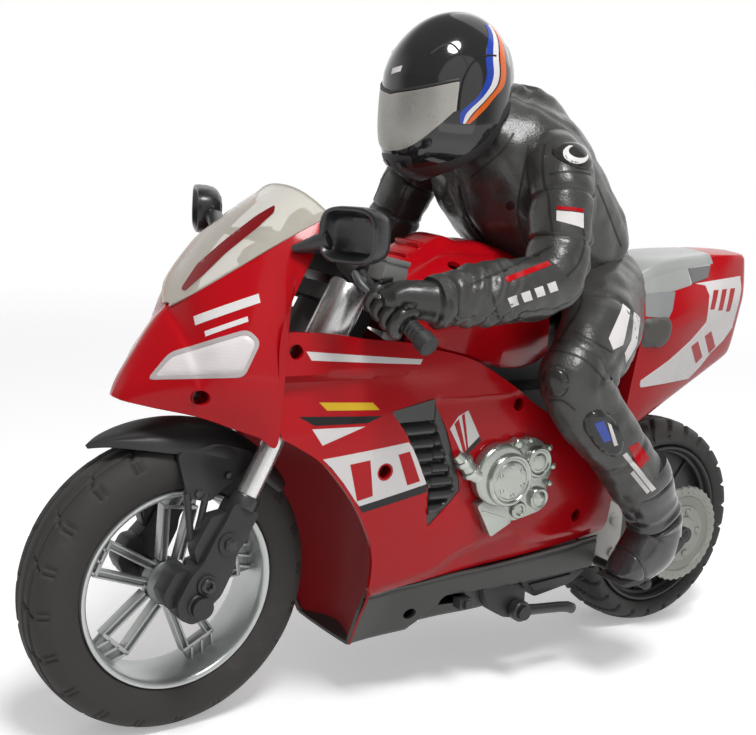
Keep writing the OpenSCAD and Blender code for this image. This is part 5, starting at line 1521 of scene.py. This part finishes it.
def rider_body():
    """Suit with its torso, arms and legs, and the boots."""
    torso = [(-79, 0, 153, 12, 20), (-79, 0, 158, 19, 25), (-69.5, 0, 170.3, 22.5, 28),
             (-58.5, 0, 182.8, 24.5, 30), (-45.3, 0, 195.9, 25.5, 33.5), (-32.7, 0, 209.4, 26.4, 32.5),
             (-23, 0, 219, 21.5, 29.5), (-16, 0, 227, 17.5, 22), (-13, 0, 232, 13, 15),
             (-11.6, 0, 234.4, 6, 8)]
    rows = limb(torso, 130, 120, 2.4, torso_folds)
    piece("suit_torso", grid(rows, ring=True, caps=True), "suit", nodes=("rider_torso",), sharp=60)
    arm = [(-36, 20, 216, 8, 8), (-32, 27, 216, 10.5, 10), (-26.5, 36, 213.5, 12, 11.5),
           (-22, 44, 207, 12, 12), (-18.5, 50, 196, 11, 11.8), (-15, 54, 182, 11, 11.6),
           (-8, 56, 171, 12, 11.8), (6, 57, 169, 11.6, 11.5), (22, 57, 168, 11, 11),
           (36, 56, 166, 9.8, 9.6), (42.6, 55.5, 165, 9.4, 9)]
    sleeve = grid(limb(arm, 150, 72, 2.2, arm_folds), ring=True, caps=True)
    pair("suit_arm", sleeve, "suit", node="rider_arm", sharp=60)
    leg = [(-78, 14, 161, 14, 14), (-76, 18, 161, 17, 17), (-66, 28, 157, 18, 16), (-52, 42, 150, 18, 15.5),
           (-38, 51.5, 142, 16.5, 13), (-29, 55, 133, 14.5, 12.5), (-36, 56, 121, 14, 12.6),
           (-50, 56.4, 107, 13, 12.4), (-63, 56.4, 94, 12, 11.6), (-72, 56, 84, 11, 10.6)]
    trouser = grid(limb(leg, 150, 72, 2.2, leg_folds), ring=True, caps=True)
    boot = [(-66, 56.2, 94.6, 12.2, 11.6), (-69.6, 56.1, 89, 12.6, 12), (-77, 56, 76.6, 11.2, 10.2),
            (-82, 55.5, 67.4, 11.6, 9.4), (-79.6, 55.3, 60, 12.4, 9.6), (-72, 55.6, 54, 9.6, 9.2),
            (-64.6, 55.8, 50.6, 5.8, 8), (-60.4, 55.8, 49.4, 2.4, 4.4)]
    shoe = grid(limb(boot, 110, 64, 2.4, boot_folds), ring=True, caps=True)
    pair("suit_leg", trouser, "suit", node="rider_leg", sharp=60)
    pair("boot_upper", shoe, "boot", sharp=60)
    sole = soft([(-57.6, 47.8), (-60, 46.4), (-68, 46.6), (-77, 49.6), (-83, 53), (-92, 60), (-93, 62.6),
                 (-91, 63.6), (-82, 56), (-70, 50)], 1.2, 3)
    pair("boot_sole", slab(sole, 47.6, 63.4), "trim", bevel=0.9, rounds=3)
    suit_marks(Skin(sleeve), Skin(trouser), Skin(grid(rows, ring=True)), Skin(trouser, shoe))


def suit_marks(on_arm, on_leg, on_back, on_boot):
    """Pads, stripes and seams laid on the suit and boots; the seams are dark strips, painted shade of the
    seam grooves.
    """
    def pad(skin, shape, lift=0.15, dome=0.0, rim=2.5):
        return patch(skin, shape, 1.1, lift, dome, rim, 1.2, QUARTER)

    def lay(name, skin, shape, key, *form):
        pair(name, pad(skin, shape, *form), key)

    cap = soft([(37.4, 210.9), (43, 215), (50.9, 215.3), (54.3, 210.7), (53.7, 204.6), (46.7, 204.6),
                (41.2, 206.9)], 3.5, 5)
    lay("shoulder_cap", on_arm, cap, "pad", 0.3, 1.3, 3.0)
    on_cap = Skin(pad(on_arm, cap, 0.3, 1.3, 3.0))
    turns = [math.radians(120 + 15 * k) for k in range(17)]

    def arc(u, v, across, tall):
        return [(u + across * math.cos(a), v + tall * math.sin(a)) for a in turns]

    lay("shoulder_arc", on_cap, arc(47, 209.9, 4.9, 3.7) + arc(47.9, 210.9, 3.7, 2.5)[::-1], "white")
    lay("arm_label", on_arm, [(40.6, 188.1), (50.7, 187.9), (51, 182.4), (40.8, 184.4)], "white")
    lay("arm_label_edge", on_arm, [(40.6, 189.8), (50.7, 189.6), (50.7, 188.3), (40.6, 188.5)], "red")
    lay("sleeve_band", on_arm, [(21.8, 161.6), (38.3, 169.3), (39.2, 167.7), (22.8, 159.8)], "red")
    for k in range(4):
        bar = ((23.4, 154.4), (26.6, 155.8), (28, 152.6), (25, 151.4))
        lay("sleeve_bar_%d" % k, on_arm, [(u + 4.8 * k, v + 2.1 * k) for u, v in bar], "white")
    knee = soft([(41.9, 125.4), (43.1, 130.1), (46.4, 132.3), (50, 130), (51.8, 124.9), (50.2, 120.2),
                 (46.2, 119.4)], 3, 5)
    lay("knee_cup", on_leg, knee, "pad", 0.3, 2.4, 3.0)
    shin = soft([(57.7, 109.5), (59.9, 115.1), (66, 116.5), (72, 112.1), (76.9, 102.4), (73.5, 97.1),
                 (66.3, 100)], 4, 5)
    lay("shin_cup", on_leg, shin, "pad", 0.3, 1.9, 3.4)
    on_shin = Skin(pad(on_leg, shin, 0.3, 1.9, 3.4))
    lay("shin_mark", on_shin, [(62.5, 110.8), (66.2, 112), (70.4, 104.6), (67.4, 103.4)], "blue")
    lay("shin_mark_bar", on_shin, [(67.8, 111.4), (69.4, 110.6), (73.2, 102.8), (71.8, 102.2)], "white")
    lay("shin_flash", on_leg, [(78.3, 101.7), (82.6, 103.8), (88.6, 97.4), (84.5, 93)], "red")
    lay("back_plug", on_back, circle(26.2, 191.6, 1.7), "ink", 0.1)
    seams = ((on_arm, [(36.4, 214), (35.2, 207.7), (36, 198.5), (37.4, 194.6), (38.4, 186.6), (40.4, 177)]),
             (on_arm, [(37.6, 201.6), (44.3, 203), (53.3, 203.2)]),
             (on_arm, [(50.5, 183.4), (51.8, 176.6), (49.8, 169.4), (45.3, 164.2)]),
             (on_arm, [(40.2, 175.3), (31.6, 169.9), (21.1, 164), (10, 158)]),
             (on_arm, [(0.6, 155.2), (2, 149.9), (6.2, 144.7)]),
             (on_arm, [(17.6, 156.4), (19.2, 151.3), (21.4, 146.7)]),
             (on_back, [(24.9, 218.6), (20.5, 211.1), (10.3, 201.6)]),
             (on_back, [(6.2, 199.5), (10.2, 189), (18.5, 179)]),
             (on_back, [(30.9, 214.4), (29.6, 202.6), (29.3, 188.6), (35.9, 175.9)]),
             (on_back, [(59.2, 167.5), (67.1, 169.4), (75.6, 172.5), (77.6, 173.6)]),
             (on_back, [(60.4, 203), (66.3, 194.3), (70.5, 187.8), (75, 181)]),
             (on_leg, [(53.1, 144.8), (60.7, 141.2), (68, 137.9)]),
             (on_leg, [(44.4, 136.9), (49.9, 136.7), (57, 134.2), (65.6, 127.2)]),
             (on_leg, [(45.1, 118), (49.7, 118.6), (54.9, 115.2)]),
             (on_leg, [(57.9, 163.4), (56, 155.1), (51.2, 147), (46.6, 139)]))
    # Seams: thin dark strips, painted shade of the seam grooves
    for k, (skin, line) in enumerate(seams):
        lay("suit_seam_%d" % k, skin, ribbon(line, 0.9), "seam", 0.08)
    lay("shin_stripe_long", on_boot, [(76.2, 98.5), (77.7, 99.7), (93.2, 84.9), (91.6, 83.7)], "white")
    lay("shin_stripe_short", on_boot, [(80.9, 91.1), (81.9, 92.4), (90.8, 83.9), (89.7, 82.7)], "white")
    lay("thigh_flash", on_leg, [(72.8, 157.1), (76, 154.8), (72.6, 141), (68.2, 138.9), (66.2, 143.1)],
        "white")
    lay("thigh_flash_bar", on_leg, [(77.8, 154.2), (81.4, 152), (80, 141.4), (74.9, 134), (73.8, 137.8),
                                    (76.8, 143)], "white")


def gloves():
    """Hands closed on the grips: cuff, palm, fingers and thumb."""
    def palm_push(t, _, p):
        return 0.5 * wrinkle(p, 8, 6) - 0.6 * hump(t, 1.5, 0.12)

    palm = [(39.4, 55.9, 165.6, 8.6, 8.4), (41, 55.6, 165.4, 9.0, 8.8), (44, 54.6, 165.6, 7.4, 7.2),
            (48, 52.4, 166, 6.8, 7.6), (52, 49.6, 166.4, 6, 8.2), (56, 47.6, 166.2, 4.6, 8.2),
            (59.6, 46.6, 165.6, 2.4, 6.8)]
    palm = limb(palm, 60, 48, 2.3, palm_push)
    a, d = GRIP_ROOT, (GRIP_END - GRIP_ROOT).normalized()
    ahead = (Vector((1, 0, 0)) - d * d[0]).normalized()
    over = ahead.cross(d)
    parts = [grid(palm, ring=True, caps=True)]
    plates = []
    for k in range(4):
        c = a + d * (15.6 + 4.9 * k)
        line = []
        for j in range(17):
            g = math.radians(118 - 12.5 * j)
            r = 5.0 - 0.4 * math.sin(j * 0.4) + 0.4 * hump(j, 5, 1.2) + 0.4 * hump(j, 11, 1.2)
            line.append(c + ahead * (r * math.cos(g)) + over * (r * math.sin(g)))
        parts.append(tube(line, [2.1] + [2.4 + 0.2 * math.cos(j * 1.05) for j in range(14)] + [2.1, 1.3], 14))
        p = c + ahead * 1.4 + over * 7
        plates.append(tube([p - ahead * 2.8, p - ahead * 2.3, p + ahead * 2.3, p + ahead * 2.8],
                           [0.7, 1.7, 1.7, 0.7], 16, 0.5))
    thumb = [a + d * 16 + ahead * -5 + over * 1, a + d * 13.4 + ahead * -4.5 + over * -2.4,
             a + d * 11 + ahead * -1.6 + over * -4.7, a + d * 9.8 + ahead * 1.4 + over * -4.9]
    parts.append(tube(trail([tuple(p) for p in thumb], 12), [2.5] * 11 + [2.0, 1.2], 14))
    pair("glove_hand", join(*parts), "glove", node="rider_glove", sharp=60)
    pair("glove_guard", join(*plates), "pad", sharp=50)


HELM_MID = 236
HELM_TOP = 268.15


def helm_out(x, y, z):
    """Direction out of the helmet at a point."""
    return Vector((x / 784, y / 605, (z - HELM_MID) / 1000)).normalized()


def helm_wall(depth):
    """Step from a point on the helmet to its inner twin."""
    return lambda p: helm_out(*p) * -depth


def level_wall(depth):
    """Step from a point to its inner twin, level and towards the helmet's middle."""
    return lambda p: Vector((-p[0], -p[1], 0)).normalized() * depth


def helm(psi, z, lift=0.0):
    """Point on the helmet at an angle in degrees from the front, and a height."""
    a = math.radians(psi)
    if z > HELM_MID:
        s = max(0.0, 1 - ((z - HELM_MID) / 32.2) ** 2.2) ** 0.5
    else:
        s = max(0.0, 1 - ((HELM_MID - z) / 33.5) ** 4) ** (1 / 2.2)
    cx = look([(203, 1.5), (213, 0.6), (224, 0.3), (236, 0), (248, -1), (256, -1.6), (268.2, -2)], z)[0]
    chin = 1.4 * smooth(60, 15, abs(psi)) * hump(z, 209, 6)
    brow = 0.7 * smooth(66, 58, abs(psi)) * smooth(239, 244, z) * smooth(262, 250, z)
    nape = 1 - 0.18 * smooth(80, 140, abs((psi + 180) % 360 - 180))
    x = (28 * s * nape + chin + brow) * math.cos(a)
    y = (24.6 * s + 0.3 * chin) * math.sin(a)
    return Vector((cx + x, y, z)) + helm_out(x, y, z) * lift


def rider_head():
    """Helmet shell with its rolled rim, and the visor with its seal."""
    rim = [(0, 203.2), (40, 205), (75, 210.7), (100, 220.8), (113, 229.4), (140, 231.6), (180, 232)]
    rows = []
    for j in range(61):
        row = []
        for k in range(120):
            psi = -180 + 3 * k
            low = look(rim, abs(psi))[0]
            row.append(helm(psi, low + (HELM_TOP - low) * math.sin(math.pi / 2 * j / 60)))
        rows.append(row)
    shell = thick(grid(rows, ring=True), helm_wall(2))
    piece("helmet_shell", shell, "helmet", nodes=("rider_helmet",), sharp=50)
    roll = []
    for k in range(121):
        psi = -180 + 3 * k
        base = look(rim, abs(psi))[0]
        roll.append([helm(psi, base + 4.6 * j / 6, 0.12) for j in range(7)])
    piece("helmet_roll", thick(grid(roll), level_wall(0.6)), "trim", sharp=50)
    low = [(0, 214.4), (20, 215.9), (35, 219.6), (50, 225.7), (61, 231)]
    high = [(0, 235.2), (30, 237.6), (61, 241.4)]
    face = []
    for k in range(63):
        psi = -62 + 2 * k
        lo, hi = look(low, abs(psi))[0], look(high, abs(psi))[0]
        face.append([helm(psi, lo + (hi - lo) * j / 24, 0.55) for j in range(25)])
    shield = thick(grid(face), lambda p: helm_out(p[0], p[1], HELM_MID) * -1.1)
    piece("visor_shield", shield, "visor", nodes=("rider_visor",), sharp=50)
    edge = [helm(-62 + 2 * k, look(high, abs(-62 + 2 * k))[0] + 0.8, 0.1) for k in range(63)]
    piece("visor_seal", tube(edge, 0.6, 10), "trim")


def helmet_trim():
    """Sash, spoiler, chin vent, ridges and seams of the helmet."""
    # Edges of the sash: height and angle from the front
    left = [(226, 66), (230.5, 66), (237, 79), (244.5, 84.5), (250, 83.5), (255.5, 86.5), (261.5, 95),
            (264, 97)]
    right = [(226, 73), (232, 86), (237, 95), (241.5, 105), (247, 108), (252.5, 109), (259, 116), (264, 121)]
    cuts = (("sash_blue", 0.0, 0.3, "blue"), ("sash_white", 0.3, 0.58, "white"),
            ("sash_dark", 0.58, 0.66, "ink"), ("sash_orange", 0.66, 1.0, "orange"))
    for name, u0, u1, key in cuts:
        band = []
        for j in range(41):
            z = 226.4 + 37 * j / 40
            l, r = look(left, z)[0], look(right, z)[0]
            band.append([helm(l + (r - l) * (u0 + (u1 - u0) * k / 10), z, 0.14) for k in range(11)])
        pair(name, thick(grid(band), helm_wall(0.6)), key)
    wing = []
    for j in range(25):
        z = 240 + 17 * j / 24
        tall = smooth(240, 244.5, z) * smooth(257.2, 255, z)
        wing.append([helm(180 + w * 2.1, z, 0.05 + 0.7 * smooth(24, 17, abs(w)) * tall)
                     for w in range(-25, 26)])
    piece("helmet_spoiler", thick(grid(wing), (1.2, 0, -0.3)), "helmet", sharp=50)
    vent = []
    for k in range(21):
        psi = -26 + 52 * k / 20
        swell = 0.5 * smooth(26, 22, abs(psi))
        vent.append([helm(psi, 206.4 + 6.6 * j / 8, swell * math.sin(math.pi * j / 8) ** 0.5 + 0.1)
                     for j in range(9)])
    piece("chin_vent", thick(grid(vent), level_wall(0.9)), "trim", sharp=50)
    slot = [[helm(9 + 10 * k / 8, 209.8 + j, 0.9) for j in (-1, 0, 1)] for k in range(9)]
    pair("chin_slot", thick(grid(slot), (-1, 0, 0)), "ink")
    ridge = [helm(34 + 34 * k / 16, 251 + 6 * math.sin(math.pi * k / 16) - 4 * k / 16, -0.25)
             for k in range(17)]
    pair("helmet_ridge", tube(ridge, 0.5, 8), "helmet")
    bar = [[helm(-3 + 12 * k / 10, 242.6 + 0.12 * k + 2.2 * j, 0.18) for j in (0, 1)] for k in range(11)]
    piece("brow_bar", thick(grid(bar), (-0.8, 0, 0)), "white")
    seam = [helm(*p, 0.0) for p in ((64, 231), (64, 238), (66, 244), (72, 249), (84, 251.6), (95, 252))]
    pair("helmet_seam", tube(trail([tuple(p) for p in seam], 30), 0.45, 8), "ink")


# Carried-over pieces and stage

# Finishes of the frame's own nodes, by slot and for single nodes
BY_SLOT = {"red": "red", "black_plastic": "trim", "grey_plastic": "grey", "seat": "seat", "clear": "screen",
           "lens": "lens", "silver": "pale_grey", "black_metal": "dark_metal", "chrome": "pale_tube",
           "steel": "steel", "tyre": "rear_rubber", "gear": "gear", "brass": "brass", "battery": "battery",
           "board": "board", "suit": "suit", "glove": "glove", "helmet": "helmet", "visor": "visor"}
BY_NODE = {"front_axle": "dark_metal", "rear_axle": "dark_metal", "stand_screw": "dark_metal",
           "steering_stem": "dark_metal"}


def carried_over():
    """Finishes for the frame's own nodes that no piece stands for."""
    for name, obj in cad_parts.items():
        own = obj.data.materials[0] if obj.data.materials else None
        key = obj.get("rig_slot") or (own.name.split(".")[0] if own else "grey_plastic")
        obj.data.materials.clear()
        obj.data.materials.append(finish(BY_NODE.get(name) or BY_SLOT.get(key, "grey")))
        obj.data.shade_smooth()
        obj.data.set_sharp_from_angle(angle=math.radians(30))


def surround(room):
    """White to the eye and through the screen, plain light on pieces, dim in reflections on one side."""
    world = bpy.data.worlds.new("studio")
    bpy.context.scene.world = world
    world.use_nodes = True
    w = Finish("studio", world)
    way = w.node("ShaderNodeTexCoord", out="Generated")
    side = w.node("ShaderNodeVectorMath", {"operation": "DOT_PRODUCT"}, {0: way, 1: (0.576, 0.817, 0)},
                  out="Value")
    shown = w.larger(w.ray("Is Camera Ray"), w.ray("Is Transmission Ray"))
    height = w.node("ShaderNodeSeparateXYZ", None, {0: way}, out=2)
    mirror = 0.18 + side.between(0.4, -0.2) * height.between(0.7, 0.25) * 0.75
    strength = room + shown * (1 - room) + w.ray("Is Glossy Ray") * (mirror - room) * (1 - shown)
    light = w.node("ShaderNodeBackground", None, {"Color": (1, 1, 1, 1), "Strength": strength})
    w.node("ShaderNodeOutputWorld", None, {"Surface": light})


def paper_floor():
    """Pale floor that keeps the shadow and fades to white far out."""
    mesh = bpy.data.meshes.new("floor")
    mesh.from_pydata([(-3, -3, 0), (3, -3, 0), (3, 3, 0), (-3, 3, 0)], [], [(0, 1, 2, 3)])
    floor = bpy.data.objects.new("floor", mesh)
    bpy.context.collection.objects.link(floor)
    f = Finish("floor_paper")
    far = f.node("ShaderNodeVectorMath", {"operation": "LENGTH"}, {0: f.place}, out="Value").between(0.4, 1.1)
    grain = f.noise(800, 2)
    seen = f.larger(f.ray("Is Camera Ray"), f.ray("Is Glossy Ray"))
    paper = f.blend((0.42, 0.42, 0.42), (0.9, 0.9, 0.9), seen)
    glow = f.blend(f.blend((0, 0, 0), (0.3, 0.3, 0.3), seen), f.blend((0.3, 0.3, 0.3), (1, 1, 1), seen), far)
    f.done(f.blend(paper, (0, 0, 0), far), 0.85 + grain * 0.1, f.raised(grain, 0.02, 0.0002), "floor",
           Emission_Color=glow, Emission_Strength=1.0, Specular_IOR_Level=0.0)
    mesh.materials.append(f.material)
    return floor


def soft_boxes(sizes):
    """Round lamps that look at the middle of the machine."""
    made = []
    boxes = (("key_box", (0.2, 0.55, 1.25), 0.38, sizes.key),
             ("side_box", (0.2, 1.1, 0.45), 1.5, sizes.fill * 1.2),
             ("back_box", (-0.8, -0.3, 0.9), 1.2, sizes.fill * 0.8))
    for name, place, size, power in boxes:
        lamp = bpy.data.lights.new(name, "AREA")
        lamp.shape = "DISK"
        lamp.size = size
        lamp.energy = power
        obj = bpy.data.objects.new(name, lamp)
        obj.location = place
        obj.rotation_euler = (Vector(place) - Vector((0, 0, 0.12))).to_track_quat("Z", "Y").to_euler()
        bpy.context.collection.objects.link(obj)
        made.append(obj)
    return made


def viewpoint(focal):
    """Camera at the left front, rolled a little."""
    lens = bpy.data.cameras.new("camera")
    lens.lens = focal
    lens.sensor_width = 36
    eye = bpy.data.objects.new("camera", lens)
    bpy.context.collection.objects.link(eye)
    place, aim = Vector((324.25, 416.7, 233.6)) * MM, Vector((30.5, 0, 129.7)) * MM
    back = (place - aim).normalized()
    right = UP.cross(back).normalized()
    up = back.cross(right)
    roll = math.radians(3.99)
    x, y = right * math.cos(roll) + up * math.sin(roll), up * math.cos(roll) - right * math.sin(roll)
    eye.matrix_world = Matrix(((x[0], y[0], back[0], place[0]), (x[1], y[1], back[1], place[1]),
                               (x[2], y[2], back[2], place[2]), (0, 0, 0, 1)))
    bpy.context.scene.camera = eye
    return eye


def stage(sizes):
    """Floor, soft boxes, white surround and camera."""
    made = [paper_floor()] + soft_boxes(sizes)
    surround(sizes.room)
    made.append(viewpoint(sizes.lens))
    bpy.context.scene.view_settings.view_transform = "Standard"


# Operators and panel

class MotoOperator(bpy.types.Operator):
    """Base of the build steps."""

    bl_idname = "moto.step"
    bl_label = "Step"
    bl_options = {"REGISTER", "UNDO"}

    def build(self, scene):
        raise NotImplementedError

    def execute(self, context):
        self.build(context.scene)
        return {"FINISHED"}


class MotoFrontWheel(MotoOperator):
    """Adds the front wheel with its tread and spokes."""

    bl_idname = "moto.front_wheel"
    bl_label = "Front wheel"

    def build(self, scene):
        front_wheel(scene.moto_sizes)


class MotoRearWheel(MotoOperator):
    """Adds the rear wheel with its block tread."""

    bl_idname = "moto.rear_wheel"
    bl_label = "Rear wheel"

    def build(self, scene):
        rear_wheel()


class MotoFork(MotoOperator):
    """Adds the fork legs and the front fender."""

    bl_idname = "moto.fork"
    bl_label = "Fork and fender"

    def build(self, scene):
        fork()


class MotoCowl(MotoOperator):
    """Adds the nose cowl, lamps and windshield."""

    bl_idname = "moto.cowl"
    bl_label = "Cowl and windshield"

    def build(self, scene):
        cowl(scene.moto_sizes)
        windshield()


class MotoFairings(MotoOperator):
    """Adds the side fairings, vents and engine covers."""

    bl_idname = "moto.fairings"
    bl_label = "Side fairings"

    def build(self, scene):
        fairings(scene.moto_sizes)
        engine()


class MotoBelly(MotoOperator):
    """Adds the belly pan and side stand."""

    bl_idname = "moto.belly"
    bl_label = "Belly pan"

    def build(self, scene):
        belly()


class MotoTop(MotoOperator):
    """Adds the tank, seat, tail and footrests."""

    bl_idname = "moto.top"
    bl_label = "Tank, seat and tail"

    def build(self, scene):
        tank_and_seat(scene.moto_sizes)
        tail(scene.moto_sizes)
        rear_sets()


class MotoCockpit(MotoOperator):
    """Adds the dash, bars and mirrors."""

    bl_idname = "moto.cockpit"
    bl_label = "Cockpit"

    def build(self, scene):
        cockpit()


class MotoRider(MotoOperator):
    """Adds the rider's suit, gloves, boots and helmet."""

    bl_idname = "moto.rider"
    bl_label = "Rider"

    def build(self, scene):
        rider_body()
        gloves()
        rider_head()
        helmet_trim()


class MotoCarried(MotoOperator):
    """Gives the frame's own nodes their finishes."""

    bl_idname = "moto.carried"
    bl_label = "Frame finishes"

    def build(self, scene):
        carried_over()


class MotoStageSetup(MotoOperator):
    """Adds the floor, lights and camera."""

    bl_idname = "moto.stage"
    bl_label = "Stage"

    def build(self, scene):
        stage(scene.moto_stage)


STEPS = (MotoFrontWheel, MotoRearWheel, MotoFork, MotoCowl, MotoFairings, MotoBelly, MotoTop, MotoCockpit,
         MotoRider, MotoCarried, MotoStageSetup)


class MotoPanel(bpy.types.Panel):
    """Sidebar list of the build steps and settings."""

    bl_idname = "VIEW3D_PT_moto"
    bl_label = "Motorcycle"
    bl_space_type = "VIEW_3D"
    bl_region_type = "UI"
    bl_category = "Motorcycle"

    def draw(self, context):
        scene = context.scene
        for group in (scene.moto_paint, scene.moto_sizes, scene.moto_stage):
            for key in group.__annotations__:
                self.layout.prop(group, key)
        for step in STEPS:
            self.layout.operator(step.bl_idname)


GROUPS = (("moto_paint", MotoPaint), ("moto_sizes", MotoSizes), ("moto_stage", MotoStage))


def register():
    for key, group in GROUPS:
        bpy.utils.register_class(group)
        setattr(bpy.types.Scene, key, bpy.props.PointerProperty(type=group))
    for step in STEPS:
        bpy.utils.register_class(step)
    bpy.utils.register_class(MotoPanel)


def unregister():
    bpy.utils.unregister_class(MotoPanel)
    for step in reversed(STEPS):
        bpy.utils.unregister_class(step)
    for key, group in reversed(GROUPS):
        delattr(bpy.types.Scene, key)
        bpy.utils.unregister_class(group)


def main():
    register()
    for step in STEPS:
        getattr(bpy.ops.moto, step.bl_idname.split(".")[1])()


if __name__ == "__main__":
    main()
